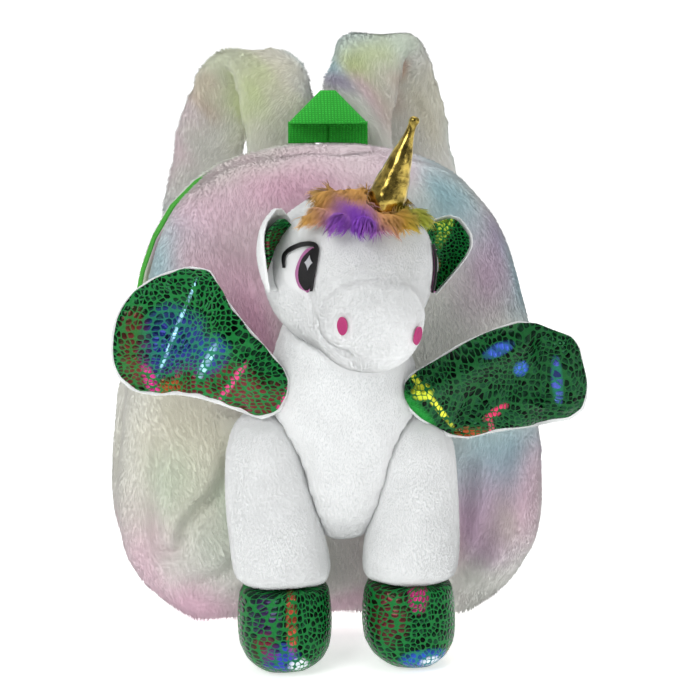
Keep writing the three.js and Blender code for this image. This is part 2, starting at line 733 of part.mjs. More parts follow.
// The mane's locks: where each one grows on the pad, along and round the head as shares of the
// pad's half sizes, and which way it falls, sideways and forwards.
const LOCKS = [
  { along: 0.3, round: 0.85, side: -0.9, forward: 0.3, long: 1.0 },
  { along: 0.6, round: 0.55, side: -0.6, forward: 0.7, long: 0.85 },
  { along: 0.75, round: 0.15, side: -0.2, forward: 1.0, long: 0.95 },
  { along: 0.7, round: -0.25, side: 0.2, forward: 1.0, long: 0.85 },
  { along: 0.55, round: -0.6, side: 0.5, forward: 0.8, long: 0.9 },
  { along: 0.25, round: -0.9, side: 0.9, forward: 0.3, long: 0.9 },
  { along: -0.4, round: 0.6, side: -0.8, forward: -0.3, long: 0.8 },
  { along: -0.4, round: -0.6, side: 0.8, forward: -0.3, long: 0.8 },
];

function mane() {
  const [share, angle] = [MANE_PLACE.share, degrees(MANE_PLACE.angle)];
  const pad = headPatch(share, angle, MANE.halfWidth, MANE.halfLength, MANE.pad, 2, 12);
  const radius = HEAD.halfWidth * columnAt(HEAD_ROWS, "wide", share);
  const forward = vec(0, 0, 1).applyMatrix4(HEAD_TURN);
  const lockRows = [
    { at: 0, round: 0.75 },
    { at: 0.35, round: 1 },
    { at: 1, round: 0.12 },
  ];
  const tuft = LOCKS.reduce((rest, lock) => {
    const s = share + (lock.along * MANE.halfWidth) / HEAD.length;
    const a = angle + (lock.round * MANE.halfLength) / radius;
    const base = headPoint(s, a, PATCH.lift + MANE.pad * 0.6);
    const up = headPoint(s, a, MANE.pad * 3).sub(base).normalize();
    const axis = vec(lock.side, 0, 0).addScaledVector(forward, lock.forward).addScaledVector(up, 0.15);
    return rest.add(turned(lockRows, base, axis, MANE.lock * lock.long, MANE.lockRadius, 5));
  }, pad);
  return tuft.subtract(headSolid(PATCH.lift)).subtract(horn(CLEARANCE));
}

// An ear is a cupped leaf: widths and cup depths along its length, as shares. The lining lies in
// the cup, and the back wraps it with a little trim.
const EAR_ROWS = [
  { at: 0, wide: 0.2, cup: 0.25 },
  { at: 0.2, wide: 0.46, cup: 0.75 },
  { at: 0.45, wide: 0.78, cup: 1 },
  { at: 0.7, wide: 1.0, cup: 0.8 },
  { at: 0.88, wide: 0.78, cup: 0.45 },
  { at: 0.97, wide: 0.42, cup: 0.2 },
  { at: 1, wide: 0.16, cup: 0.1 },
];
// Where each ear stands on the head, how far its foot lies under that place, which way its cup
// turns, and how far it leans towards +X.
const EARS = {
  left: { share: 0.46, angle: 165, drop: 18, turn: 56, lean: 4 },
  right: { share: 0.3, angle: 2, drop: 16, turn: -14, lean: 18 },
};

// A point in an ear's own frame: u across it, v along it and w out of the cup.
function earPoint(ear, u, v, w) {
  const foot = headPoint(ear.share, degrees(ear.angle), EAR.layer * EAR.stand);
  const place = new THREE.Matrix4()
    .makeTranslation(foot.x, foot.y, foot.z - ear.drop)
    .multiply(new THREE.Matrix4().makeRotationY(degrees(ear.lean)))
    .multiply(new THREE.Matrix4().makeRotationZ(degrees(ear.turn)));
  return vec(u, -w, v).applyMatrix4(place);
}

function earLayer(ear, from, to, trim) {
  const [steps, across] = [7, 6];
  const rings = Array.from({ length: steps + 1 }, (_, i) => {
    const share = i / steps;
    const half = columnAt(EAR_ROWS, "wide", share) * EAR.halfWidth + trim;
    const cup = columnAt(EAR_ROWS, "cup", share) * EAR.cup;
    const v = share * (EAR.length + trim);
    const surface = (k, offset) => {
      const t = (k / across) * 2 - 1;
      return earPoint(ear, t * half, v, cup * t * t - cup + offset);
    };
    const front = Array.from({ length: across + 1 }, (_, k) => surface(k, to));
    const back = Array.from({ length: across + 1 }, (_, k) => surface(across - k, from));
    return [...front, ...back];
  });
  return solid(skin(rings));
}

// The wings' outlines from the front, anticlockwise from the top of the root, as shares of the
// span from the root and of the height above the root's top.
const WING_OUTLINES = {
  left: [
    { out: 0, up: 0 },
    { out: 0.16, up: 0.34 },
    { out: 0.28, up: 0.55 },
    { out: 0.39, up: 0.78 },
    { out: 0.49, up: 1.02 },
    { out: 0.64, up: 1.0 },
    { out: 0.86, up: 0.86 },
    { out: 1.01, up: 0.62 },
    { out: 1.06, up: 0.32 },
    { out: 1.03, up: 0.04 },
    { out: 0.92, up: -0.12 },
    { out: 0.78, up: -0.15 },
    { out: 0.62, up: -0.13 },
    { out: 0.46, up: -0.2 },
    { out: 0.32, up: -0.26 },
    { out: 0.17, up: -0.34 },
    { out: 0.05, up: -0.24 },
  ],
  right: [
    { out: 0, up: 0 },
    { out: 0.18, up: 0.2 },
    { out: 0.31, up: 0.33 },
    { out: 0.45, up: 0.42 },
    { out: 0.6, up: 0.5 },
    { out: 0.68, up: 0.5 },
    { out: 0.79, up: 0.42 },
    { out: 0.92, up: 0.34 },
    { out: 0.97, up: 0.12 },
    { out: 1.0, up: -0.16 },
    { out: 0.95, up: -0.38 },
    { out: 0.84, up: -0.43 },
    { out: 0.68, up: -0.46 },
    { out: 0.52, up: -0.47 },
    { out: 0.3, up: -0.52 },
    { out: 0.17, up: -0.4 },
    { out: 0.05, up: -0.26 },
  ],
};
// Where each wing starts, and its soft channels: each is a line from one point to another, as the
// same shares, with a height of the ridge and a width as shares of the wing's layer and height.
const WINGS = {
  left: {
    ...WING_LEFT,
    side: -1,
    rootX: -33,
    rootZ: 163,
    sweep: 16,
    channels: [
      { o0: 0.1, u0: -0.1, o1: 0.5, u1: 0.8, rise: 0.9, width: 0.16 },
      { o0: 0.36, u0: -0.25, o1: 0.18, u1: 0.22, rise: -1.0, width: 0.09 },
      { o0: 0.45, u0: 0.0, o1: 0.9, u1: -0.05, rise: -0.9, width: 0.12 },
      { o0: 0.65, u0: 0.2, o1: 0.8, u1: 0.75, rise: -0.8, width: 0.2 },
    ],
  },
  right: {
    ...WING_RIGHT,
    side: 1,
    rootX: 33,
    rootZ: 160,
    sweep: 16,
    channels: [
      { o0: 0.1, u0: -0.1, o1: 0.62, u1: 0.4, rise: 0.9, width: 0.16 },
      { o0: 0.76, u0: 0.36, o1: 0.8, u1: -0.4, rise: -1.3, width: 0.09 },
      { o0: 0.9, u0: 0.3, o1: 0.92, u1: -0.3, rise: 0.8, width: 0.12 },
      { o0: 0.3, u0: -0.42, o1: 0.5, u1: 0.1, rise: -0.7, width: 0.1 },
    ],
  },
};

function channelRise(wing, out, up) {
  let rise = 0;
  for (const channel of wing.channels) {
    const [du, dv] = [channel.o1 - channel.o0, channel.u1 - channel.u0];
    const along = (out - channel.o0) * du + (up - channel.u0) * dv;
    const t = Math.min(1, Math.max(0, along / (du * du + dv * dv)));
    const away = Math.hypot(out - mix(channel.o0, channel.o1, t), up - mix(channel.u0, channel.u1, t));
    rise += channel.rise * WING.layer * Math.exp(-((away / channel.width) ** 2));
  }
  return rise;
}

// A point of a wing: shares along the span and up, and a height off its middle surface.
function wingPoint(wing, out, up, lift) {
  const rootY = BODY_Y - BODY.halfDepth * 0.64;
  return vec(
    wing.rootX + wing.side * out * wing.span,
    rootY + wing.sweep * smoothStep(out) - channelRise(wing, out, up) - lift,
    wing.rootZ + up * wing.height,
  );
}

// One fabric layer of a wing, crowned between its edges. The white back has a trim all round that
// shows past the green front.
function wingLayer(name, facing, grow = 0) {
  const wing = WINGS[name];
  const outline = new THREE.CatmullRomCurve3(
    WING_OUTLINES[name].map(({ out, up }) => vec(out, up, 0)),
    true,
  ).getSpacedPoints(28);
  outline.pop();
  const centre = outline.reduce((sum, p) => sum.add(p), vec(0, 0, 0)).divideScalar(outline.length);
  const reaches = [1, 0.84, 0.5];
  if (facing < 0) reaches.unshift(1 + WING.trim / (wing.height / 2));
  const layer = (height) =>
    reaches.map((reach) =>
      outline.map((point) => {
        const [out, up] = [mix(centre.x, point.x, reach), mix(centre.y, point.y, reach)];
        return wingPoint(wing, out, up, facing * height(reach));
      }),
    );
  const thick = facing > 0 ? WING.layer : WING.thin;
  const crown = (reach) => mix(WING.rim, thick, Math.sqrt(1 - Math.min(reach, 1) ** 4));
  const near = layer(() => CLEARANCE / 2 - grow);
  const far = layer((reach) => CLEARANCE / 2 + crown(reach) + grow);
  return solid(wall(far, near.reverse()));
}

// The bag
addPiece("bag_front", bagHalf(...FRONT_HALF), "tieDye");
addPiece("bag_back", bagHalf(...BACK_HALF), "tieDye");
addPiece("zip", cut(zip(), frontCutter, backCutter), "zip");
addPiece("zip_slider", slider(), "nickel");
addPiece("grab_handle", handle(), "webbing");
for (const name of Object.keys(SIDES)) {
  addPiece("strap_" + name, cut(strap(name), backCutter), "tieDye");
  addPiece("strap_tail_" + name, cut(tail(name), backCutter), "webbing");
}

// The unicorn
const headCutter = headSolid(CLEARANCE);
const legs = { left: LEG_LEFT, right: LEG_RIGHT };
const legCutters = Object.values(legs).map((leg) => legSolid(leg, CLEARANCE));
const bodySize = {
  x: () => BODY.centreX,
  y: () => BODY_Y,
  z0: BODY.bottom,
  height: BODY.height,
  halfWidth: BODY.halfWidth,
  halfDepth: BODY.halfDepth,
};
const bodySolid = (grow) => stuffed(BODY_ROWS, bodySize, BODY_SIDES, 10, grow);
const unicornCutters = [bodySolid(CLEARANCE), headCutter, ...legCutters];
addPiece("body", cut(bodySolid(0), frontCutter, headCutter, ...legCutters), "white");
addPiece("head", cut(headSolid(), frontCutter), "white");
for (const [name, leg] of Object.entries(legs)) {
  addPiece("leg_" + name, cut(legSolid(leg), frontCutter), "white");
  addPiece("hoof_" + name, cut(hoof(leg), frontCutter), "greenScale");
}
for (const [name, side] of Object.entries(SIDES)) {
  const ear = EARS[name];
  addPiece("wing_front_" + name, cut(wingLayer(name, 1), ...unicornCutters), "greenScale");
  addPiece("wing_back_" + name, cut(wingLayer(name, -1), ...unicornCutters, frontCutter), "white");
  addPiece("ear_lining_" + name, cut(earLayer(ear, 0, EAR.layer, 0), headCutter), "greenScale");
  const earBack = earLayer(ear, -EAR.layer - CLEARANCE, -CLEARANCE, EAR.trim);
  addPiece("ear_back_" + name, cut(earBack, headCutter), "white");
  addPiece("eye_" + name, cut(eye(side), headCutter), "thread");
  addPiece("nostril_" + name, cut(nostril(side), headCutter), "pink");
}
addPiece("mane", mane(), "mane");
addPiece("horn", cut(horn(), headCutter), "gold");

export default group;
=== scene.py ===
"""Looks of a child's plush backpack with a stuffed unicorn, laid out as an add-on and run as a script.

Every piece is in metres and in the CAD model's frame: the front faces -Y and the floor is z = 0.
"""
import math

import bpy
import numpy as np
from bpy.props import FloatProperty, FloatVectorProperty, IntProperty, PointerProperty
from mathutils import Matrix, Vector
from mathutils.bvhtree import BVHTree
from mathutils.kdtree import KDTree


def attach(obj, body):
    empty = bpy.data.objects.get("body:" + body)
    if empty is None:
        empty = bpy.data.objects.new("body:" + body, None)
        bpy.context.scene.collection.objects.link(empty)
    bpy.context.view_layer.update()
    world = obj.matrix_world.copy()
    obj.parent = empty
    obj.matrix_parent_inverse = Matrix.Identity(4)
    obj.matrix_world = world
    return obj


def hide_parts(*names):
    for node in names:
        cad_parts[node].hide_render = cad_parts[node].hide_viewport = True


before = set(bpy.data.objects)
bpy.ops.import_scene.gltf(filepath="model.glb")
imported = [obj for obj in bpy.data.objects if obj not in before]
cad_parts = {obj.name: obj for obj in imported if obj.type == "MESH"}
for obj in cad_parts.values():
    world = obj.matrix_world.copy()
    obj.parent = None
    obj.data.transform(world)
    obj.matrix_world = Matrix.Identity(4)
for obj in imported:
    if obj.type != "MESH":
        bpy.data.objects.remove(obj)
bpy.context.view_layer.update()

bl_info = {
    "name": "Plush unicorn backpack",
    "version": (1, 0, 0),
    "blender": (4, 5, 0),
    "location": "3D View > Sidebar > Backpack",
    "description": "Builds the plush, cloth and foil of a child's backpack round its CAD model",
    "category": "Object",
}

MM = 0.001
ZIP_Y = 0.014
PILE_ABOVE_FLOOR = 0.0004


def table(columns, *rows):
    """The rows of a table as dictionaries. columns names what each value of a row is."""
    return [dict(zip(columns.split(), row)) for row in rows]


def tone(code):
    """A colour such as e6cfdc as linear red, green and blue."""
    parts = [int(code[i : i + 2], 16) / 255 for i in (0, 2, 4)]
    return tuple(c / 12.92 if c <= 0.04045 else ((c + 0.055) / 1.055) ** 2.4 for c in parts)


def length(label, about, default):
    return FloatProperty(name=label, description=about, default=default, unit="LENGTH", precision=4)


def colour(label, about, code):
    return FloatVectorProperty(
        name=label, description=about, default=tone(code), subtype="COLOR", size=3, min=0, max=1
    )


def count(label, about, default):
    return IntProperty(name=label, description=about, default=default, min=0)


class BackpackSizes(bpy.types.PropertyGroup):
    """Sizes of the plush and cloth that the CAD model leaves open."""

    bag_pile: length("Bag pile", "Length of the tie-dye plush", 0.0032)
    bag_swell: length("Bag swell", "How far the filling may push the bag's cloth", 0.005)
    bag_tufts: count("Bag tufts", "Tufts on the front half of the bag", 92000)
    strap_pile: length("Strap pile", "Length of the straps' plush", 0.0034)
    strap_tufts: count("Strap tufts", "Tufts on each shoulder strap", 30000)
    white_pile: length("White pile", "Length of the unicorn's short plush", 0.0012)
    white_tufts: count("White tufts", "Tufts on the unicorn's head", 52000)
    mane_pile: length("Mane pile", "Length of the mane's hair", 0.0085)
    skin_cell: length("Skin cell", "Cell of the remeshed cloth of large pieces", 0.004)


class BackpackColours(bpy.types.PropertyGroup):
    """Colours of the backpack's cloths and threads."""

    cream: colour("Cream", "Ground of the tie-dye plush", "f7f8f0")
    mint: colour("Mint", "Pale green dye", "d8efd3")
    pink: colour("Pink", "Strong pink dye", "f4bcd8")
    blush: colour("Blush", "Light pink dye", "f8d6e6")
    sky: colour("Sky", "Pale blue dye", "bce6ec")
    teal: colour("Teal", "Blue-green dye", "98cad6")
    lavender: colour("Lavender", "Grey-purple dye", "b3a6c4")
    mauve: colour("Mauve", "Purple-pink dye", "c892c4")
    # Rose paints the shade in the crease beside the unicorn's right leg.
    rose: colour("Rose", "Dusty rose dye", "c9929f")
    # Rust also paints the shade under the straps' folds.
    rust: colour("Rust", "Orange-brown dye", "d39c78")
    straw: colour("Straw", "Yellow-cream dye", "f1ecd2")
    leaf: colour("Leaf", "Yellow-green dye", "dcebac")
    white: colour("White", "The unicorn's plush", "f8fafa")
    net: colour("Net", "Matt lines of the scale cloth", "0a7030")
    foil: colour("Foil", "Dark foil of the scale cloth", "020a06")
    webbing: colour("Webbing", "Green handle webbing", "36cc3e")
    gold: colour("Gold", "Foil of the horn", "a6914a")
    thread: colour("Thread", "Black embroidery", "0a080c")
    iris: colour("Iris", "Pink embroidery", "da86c2")
    purple: colour("Mane purple", "Middle of the mane", "a256e2")
    orange: colour("Mane orange", "Front and left of the mane", "ffc04e")
    lime: colour("Mane lime", "Right of the mane", "c6dc50")


# Meshes


def deselect():
    bpy.ops.object.select_all(action="DESELECT")


def only(obj):
    """Selects one object and makes it active."""
    deselect()
    obj.select_set(True)
    bpy.context.view_layer.objects.active = obj


def edit(obj, *steps):
    """Runs edit-mode steps on the whole of a mesh."""
    only(obj)
    bpy.ops.object.mode_set(mode="EDIT")
    bpy.ops.mesh.select_all(action="SELECT")
    for step in steps:
        step()
    bpy.ops.object.mode_set(mode="OBJECT")


def finish_with(obj, kind, **settings):
    """Adds a modifier and applies it."""
    only(obj)
    modifier = obj.modifiers.new(kind.title(), kind)
    for name, value in settings.items():
        setattr(modifier, name, value)
    bpy.ops.object.modifier_apply(modifier=modifier.name)


def points_of(obj):
    flat = np.empty(len(obj.data.vertices) * 3)
    obj.data.vertices.foreach_get("co", flat)
    return flat.reshape(-1, 3)


def put_points(obj, points):
    obj.data.vertices.foreach_set("co", np.ascontiguousarray(points, np.float32).ravel())
    obj.data.update()


def normals_of(obj):
    flat = np.empty(len(obj.data.vertices) * 3)
    obj.data.vertex_normals.foreach_get("vector", flat)
    return flat.reshape(-1, 3)


def unit(vectors):
    return vectors / np.maximum(np.linalg.norm(vectors, axis=-1, keepdims=True), 1e-12)


def soft_step(share):
    t = np.clip(share, 0, 1)
    return t * t * (3 - 2 * t)


def copy_node(node, name):
    """A new object from a CAD node's mesh, with its loose triangles merged."""
    obj = bpy.data.objects.new(name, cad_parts[node].data.copy())
    bpy.context.scene.collection.objects.link(obj)
    obj.data.materials.clear()
    only(obj)
    if obj.data.has_custom_normals:
        bpy.ops.mesh.customdata_custom_splitnormals_clear()
    edit(obj, lambda: bpy.ops.mesh.remove_doubles(threshold=1e-5))
    bpy.ops.object.shade_smooth()
    return obj


def remesh(obj, cell):
    """Even cells all over, which the cloth simulation and the pile need."""
    finish_with(obj, "REMESH", mode="VOXEL", voxel_size=cell, adaptivity=0)
    only(obj)
    bpy.ops.object.shade_smooth()


def even_out(obj, turns, factor=0.5):
    finish_with(obj, "SMOOTH", factor=factor, iterations=turns)


def refit(obj, box):
    """Gives a smoothed piece its first outline back, as seen from the front."""
    points = points_of(obj)
    low, high = points.min(0), points.max(0)
    for axis in (0, 2):
        scale = (box[1][axis] - box[0][axis]) / (high[axis] - low[axis])
        points[:, axis] = box[0][axis] + (points[:, axis] - low[axis]) * scale
    put_points(obj, points)


def soften_sheet(obj, cuts, turns):
    """Divides a thin piece finely and smooths it, with its outline kept."""
    edit(obj, lambda: bpy.ops.mesh.subdivide(number_cuts=cuts))
    points = points_of(obj)
    box = points.min(0), points.max(0)
    even_out(obj, turns, 0.4)
    refit(obj, box)


def wave_table(seed, size, waves=6):
    rng = np.random.default_rng(seed)
    return rng.normal(size=(waves, 3)) / size, rng.normal(size=(waves, 3)), rng.random(waves) * math.tau


def wander(points, size, seed):
    """A smooth field of vectors that wanders over about this size."""
    ways, pushes, starts = wave_table(seed, size)
    return np.sin(points @ ways.T + starts) @ pushes / math.sqrt(len(starts))


def ripple(points, size, seed):
    """A smooth field of numbers about -1 to 1 that wanders over about this size."""
    return wander(points, size, seed)[:, 0]


def puff(obj, cap, hold=None, pressure=4.0):
    """Fills a soft piece by cloth simulation. No point moves further than cap, nor where hold is 0."""
    before = points_of(obj)
    only(obj)
    cloth = obj.modifiers.new("Cloth", "CLOTH")
    cloth.settings.use_pressure = True
    cloth.settings.uniform_pressure_force = pressure
    cloth.settings.effector_weights.gravity = 0
    for step in range(1, 21):
        bpy.context.scene.frame_set(step)
    bpy.ops.object.modifier_apply(modifier=cloth.name)
    bpy.context.scene.frame_set(1)
    move = points_of(obj) - before
    size = np.linalg.norm(move, axis=1, keepdims=True)
    move *= np.minimum(1, cap / np.maximum(size, 1e-9))
    if hold is not None:
        move *= hold(before)[:, None]
    put_points(obj, before + move)


def shift_out(obj, distance):
    """Moves a skin along its normals, by one distance or by one for each point."""
    put_points(obj, points_of(obj) + normals_of(obj) * np.reshape(distance, (-1, 1)))


def line_distance(points, path):
    """The distance from each point to a line through a path, in as many columns as the path has."""
    nearest = np.full(len(points), 1e9)
    for a, b in zip(path[:-1], path[1:]):
        a, b = np.array(a, float) * MM, np.array(b, float) * MM
        share = np.clip(((points - a) @ (b - a)) / max((b - a) @ (b - a), 1e-12), 0, 1)
        nearest = np.minimum(nearest, np.linalg.norm(points - a - share[:, None] * (b - a), axis=1))
    return nearest


def press(obj, marks):
    """Presses creases into a skin. A mark has a path in mm, (x, z) for a mark from the front or
    (x, y, z), with a width and a depth in mm. A depth below 0 raises a ridge."""
    points, normals = points_of(obj), normals_of(obj)
    depth = np.zeros(len(points))
    for mark in marks:
        flat = len(mark["path"][0]) == 2
        away = line_distance(points[:, [0, 2]] if flat else points, mark["path"])
        dent = mark["depth"] * MM * np.exp(-((away / (mark["width"] * MM)) ** 2))
        if flat:
            dent *= np.clip(-normals[:, 1] * 2, 0, 1)
        depth += dent
    put_points(obj, points - normals * depth[:, None])


def tree_of(obj):
    mesh = obj.data
    return BVHTree.FromPolygons([v.co for v in mesh.vertices], [tuple(p.vertices) for p in mesh.polygons])


def sunk_in(trees, points, margin=0.0):
    """Which points lie inside any of these closed meshes, or nearer than a margin to their inside."""
    found = np.zeros(len(points), bool)
    for tree in trees:
        for i, point in enumerate(points):
            if found[i]:
                continue
            place, normal, _, _ = tree.find_nearest(Vector(point), 0.03)
            if place is not None and (Vector(point) - place).dot(normal) < margin:
                found[i] = True
    return found


def node_trees(names):
    return [tree_of(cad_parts[name]) for name in names]


def scatter(obj, amount, rng):
    """Evenly spread random places on a mesh, with their normals."""
    mesh = obj.data
    mesh.calc_loop_triangles()
    corners = np.empty(len(mesh.loop_triangles) * 3, np.int32)
    mesh.loop_triangles.foreach_get("vertices", corners)
    corners = corners.reshape(-1, 3)
    points, normals = points_of(obj), normals_of(obj)
    a, b, c = (points[corners[:, i]] for i in range(3))
    area = np.linalg.norm(np.cross(b - a, c - a), axis=1) / 2
    ends = np.cumsum(area)
    aim = (np.arange(amount) + rng.random(amount)) / amount * ends[-1]
    pick = np.minimum(np.searchsorted(ends, aim), len(area) - 1)
    u, v = rng.random(amount), rng.random(amount)
    fold = u + v > 1
    u[fold], v[fold] = 1 - u[fold], 1 - v[fold]
    weights = np.stack([1 - u - v, u, v], 1)
    place = np.einsum("ij,ijk->ik", weights, points[corners[pick]])
    normal = unit(np.einsum("ij,ijk->ik", weights, normals[corners[pick]]))
    return place, normal


# What a rule of pile has where it doesn't say otherwise
PILE = {
    "comb": (0, 0, -1),
    "lean": 0.8,
    "swirl": 0.5,
    "swirl_size": 0.03,
    "jitter": 0.25,
    "vary": 0.25,
    "clump": 0.4,
    "clump_size": 24,
    "joints": 1,
    "arch": 0.25,
    "droop": 0.0,
    "round": 12,
}


def tuft_lines(rule, base, normal, share, seed, rng):
    """The heading, reach and tip of each tuft, drawn into clumps and kept above the floor."""
    total = len(base)
    comb = rule["comb"]
    comb = comb(base, normal) if callable(comb) else np.broadcast_to(np.array(comb, float), (total, 3))
    way = comb + wander(base, rule["swirl_size"], seed + 7) * rule["swirl"]
    way = way - normal * np.sum(way * normal, axis=1, keepdims=True)
    jitter = rng.normal(size=(total, 3)) * rule["jitter"]
    heading = unit(normal + way * rule["lean"] + jitter)
    reach = rule["long"] * share * (1 + rule["vary"] * (rng.random(total) * 2 - 1))
    tip = base + heading * reach[:, None]
    centres = rng.choice(total, max(1, total // rule["clump_size"]), replace=False)
    finder = KDTree(len(centres))
    for number, index in enumerate(centres):
        finder.insert(base[index], number)
    finder.balance()
    near = np.array([finder.find(point)[1] for point in base])
    lock = tip[centres[near]]
    tip += (lock - tip) * rule["clump"] * rng.random((total, 1)) ** 0.5
    tip[:, 2] -= rule["droop"] * reach
    tip[:, 2] = np.maximum(tip[:, 2], PILE_ABOVE_FLOOR)
    return heading, reach, tip


def tuft_points(rule, base, normal, heading, reach, tip, rng):
    """The points of each tuft: three round its foot, three round each joint, and its tip."""
    total, joints = len(base), rule["joints"]
    side = unit(np.cross(heading, rng.normal(size=(total, 3))))
    other = unit(np.cross(heading, side))
    thick = rule["thick"] * (0.75 + 0.5 * rng.random(total))
    rings = []
    for step in range(joints):
        along = step / joints
        middle = base + (tip - base) * along
        if step:
            arch = rule["arch"] * 4 * along * (1 - along)
            middle = middle + normal * (reach * arch)[:, None]
        wide = thick * (1 - along) ** 0.8
        for corner in range(3):
            turn = corner * math.tau / 3
            spoke = side * math.cos(turn) + other * math.sin(turn)
            rings.append(middle + spoke * wide[:, None])
    rings[:3] = [ring - normal * rule["thick"] for ring in rings[:3]]
    return np.stack([*rings, tip], 1)


def tuft_faces(joints):
    """The triangles of one tuft."""
    faces = [[0, 2, 1]]
    for step in range(joints - 1):
        for corner in range(3):
            low, next_low = step * 3 + corner, step * 3 + (corner + 1) % 3
            faces += [[low, next_low, next_low + 3], [low, next_low + 3, low + 3]]
    top = (joints - 1) * 3
    faces += [[top + i, top + (i + 1) % 3, top + 3] for i in range(3)]
    return np.array(faces)


def mesh_of(name, vertices, triangles):
    """A smooth mesh of triangles."""
    made = bpy.data.meshes.new(name)
    made.vertices.add(len(vertices))
    made.vertices.foreach_set("co", vertices.astype(np.float32).ravel())
    made.loops.add(triangles.size)
    made.loops.foreach_set("vertex_index", triangles.astype(np.int32).ravel())
    made.polygons.add(len(triangles))
    made.polygons.foreach_set("loop_start", np.arange(0, triangles.size, 3, dtype=np.int32))
    made.update(calc_edges=True)
    made.polygons.foreach_set("use_smooth", np.ones(len(triangles), bool))
    return made


def grow_pile(obj, rule, keep=None, paint=None, seed=1):
    """Grows plush on a skin as closed tapering tufts in the same mesh.

    rule has amount, long and thick, and may change what PILE has: comb (a direction, or a function of
    places and normals), lean, swirl and its size, jitter, vary, clump (a share) and its size in tufts,
    joints (rings along a tuft), arch, droop, and round (how much a tuft's own roundness shows).
    keep(places, normals) picks places, or gives a share of the full length. paint(places) gives the
    colour at each root.
    """
    rule = {**PILE, **rule}
    rng = np.random.default_rng(seed)
    base, normal = scatter(obj, rule["amount"], rng)
    share = np.ones(len(base)) if keep is None else np.asarray(keep(base, normal), float)
    wanted = share > 0.02
    base, normal, share = base[wanted], normal[wanted], share[wanted]
    total = len(base)
    heading, reach, tip = tuft_lines(rule, base, normal, share, seed, rng)
    grown = tuft_points(rule, base, normal, heading, reach, tip, rng)
    per = grown.shape[1]

    finish_with(obj, "TRIANGULATE")
    skin, skin_normals = points_of(obj), normals_of(obj)
    own = np.empty(len(obj.data.polygons) * 3, np.int32)
    obj.data.polygons.foreach_get("vertices", own)
    offset = (np.arange(total) * per)[:, None, None] + len(skin)
    tufts = (tuft_faces(rule["joints"])[None] + offset).reshape(-1, 3)
    vertices = np.concatenate([skin, grown.reshape(-1, 3)])
    made = mesh_of(obj.name, vertices, np.concatenate([own.reshape(-1, 3), tufts]))

    # tip is 0 at the roots and on the skin and 1 at the tips; the plush material paints shade where it is
    # low.
    heights = np.concatenate([np.repeat(np.arange(rule["joints"]) / rule["joints"], 3), [1.0]])
    put_values(made, "tip", np.concatenate([np.zeros(len(skin)), np.tile(heights, total)]))
    shade = 0.5 + 0.5 * ripple(base, 0.006, seed + 3) * 0.4 + 0.3 * (rng.random(total) - 0.5)
    shade = np.repeat(np.clip(shade, 0, 1), per)
    put_values(made, "tuft", np.concatenate([np.full(len(skin), 0.3), shade]))
    if paint is not None:
        put_colours(made, "dye", np.concatenate([paint(skin), np.repeat(paint(base), per, axis=0)]))
    leaning = np.repeat(unit(normal * 2.4 + heading * 0.5), per, axis=0)
    middle = np.repeat((base + (tip - base) * 0.4)[:, None], per, 1)
    rounded = leaning + (grown - middle).reshape(-1, 3) * rule["round"]
    facing = np.concatenate([skin_normals, unit(rounded)])
    made.normals_split_custom_set_from_vertices(facing.astype(np.float32))
    obj.data = made
    return obj


def put_values(mesh, name, values):
    mesh.attributes.new(name, "FLOAT", "POINT").data.foreach_set("value", np.asarray(values, np.float32))


def put_colours(mesh, name, colours):
    rgba = np.concatenate([colours, np.ones((len(colours), 1))], axis=1).astype(np.float32)
    mesh.attributes.new(name, "FLOAT_COLOR", "POINT").data.foreach_set("color", rgba.ravel())


# Materials


def node(tree, kind, inputs=None, **settings):
    """Adds a shader node. An input is a value or the socket that feeds it."""
    made = tree.nodes.new("ShaderNode" + kind)
    for name, value in settings.items():
        setattr(made, name, value)
    for name, value in (inputs or {}).items():
        if isinstance(value, bpy.types.NodeSocket):
            tree.links.new(value, made.inputs[name])
        else:
            made.inputs[name].default_value = value
    return made


def full(rgb):
    return (*rgb, 1.0)


def finish_of(name, **values):
    """A new material with its main shader's values set on the sockets."""
    material = bpy.data.materials.new(name)
    material.use_nodes = True
    tree = material.node_tree
    shader = tree.nodes["Principled BSDF"]
    for label, value in values.items():
        shader.inputs[label.replace("_", " ")].default_value = value
    return material, tree, shader


def feed(tree, shader, **sockets):
    for label, socket in sockets.items():
        tree.links.new(socket, shader.inputs[label.replace("_", " ")])


def object_place(tree):
    return node(tree, "TexCoord").outputs["Object"]


def noise(tree, place, scale, detail=2.0, rough=0.5):
    return node(tree, "TexNoise", {"Vector": place, "Scale": scale, "Detail": detail, "Roughness": rough})


def value_range(tree, value, low, high, to_low=0.0, to_high=1.0):
    inputs = {"Value": value, "From Min": low, "From Max": high, "To Min": to_low, "To Max": to_high}
    return node(tree, "MapRange", inputs, clamp=True).outputs["Result"]


def product(tree, first, second):
    return node(tree, "Math", {0: first, 1: second}, operation="MULTIPLY").outputs[0]


def sum_of(tree, *parts):
    """The sum of some sockets, each times a number."""
    total = 0.0
    for socket, times in parts:
        total = node(tree, "Math", {0: socket, 1: times, 2: total}, operation="MULTIPLY_ADD").outputs[0]
    return total


def grey_of(tree, level):
    return node(tree, "CombineColor", {"Red": level, "Green": level, "Blue": level}).outputs[0]


def blend_of(tree, share, first, second, kind="MIX"):
    made = node(tree, "Mix", {}, data_type="RGBA", blend_type=kind)
    for socket, value in ((made.inputs[0], share), (made.inputs[6], first), (made.inputs[7], second)):
        if isinstance(value, bpy.types.NodeSocket):
            tree.links.new(value, socket)
        else:
            socket.default_value = value if isinstance(value, float) else full(value)
    return made.outputs[2]


def bump_of(tree, height, distance, strength=1.0):
    inputs = {"Height": height, "Distance": distance, "Strength": strength}
    return node(tree, "Bump", inputs).outputs["Normal"]


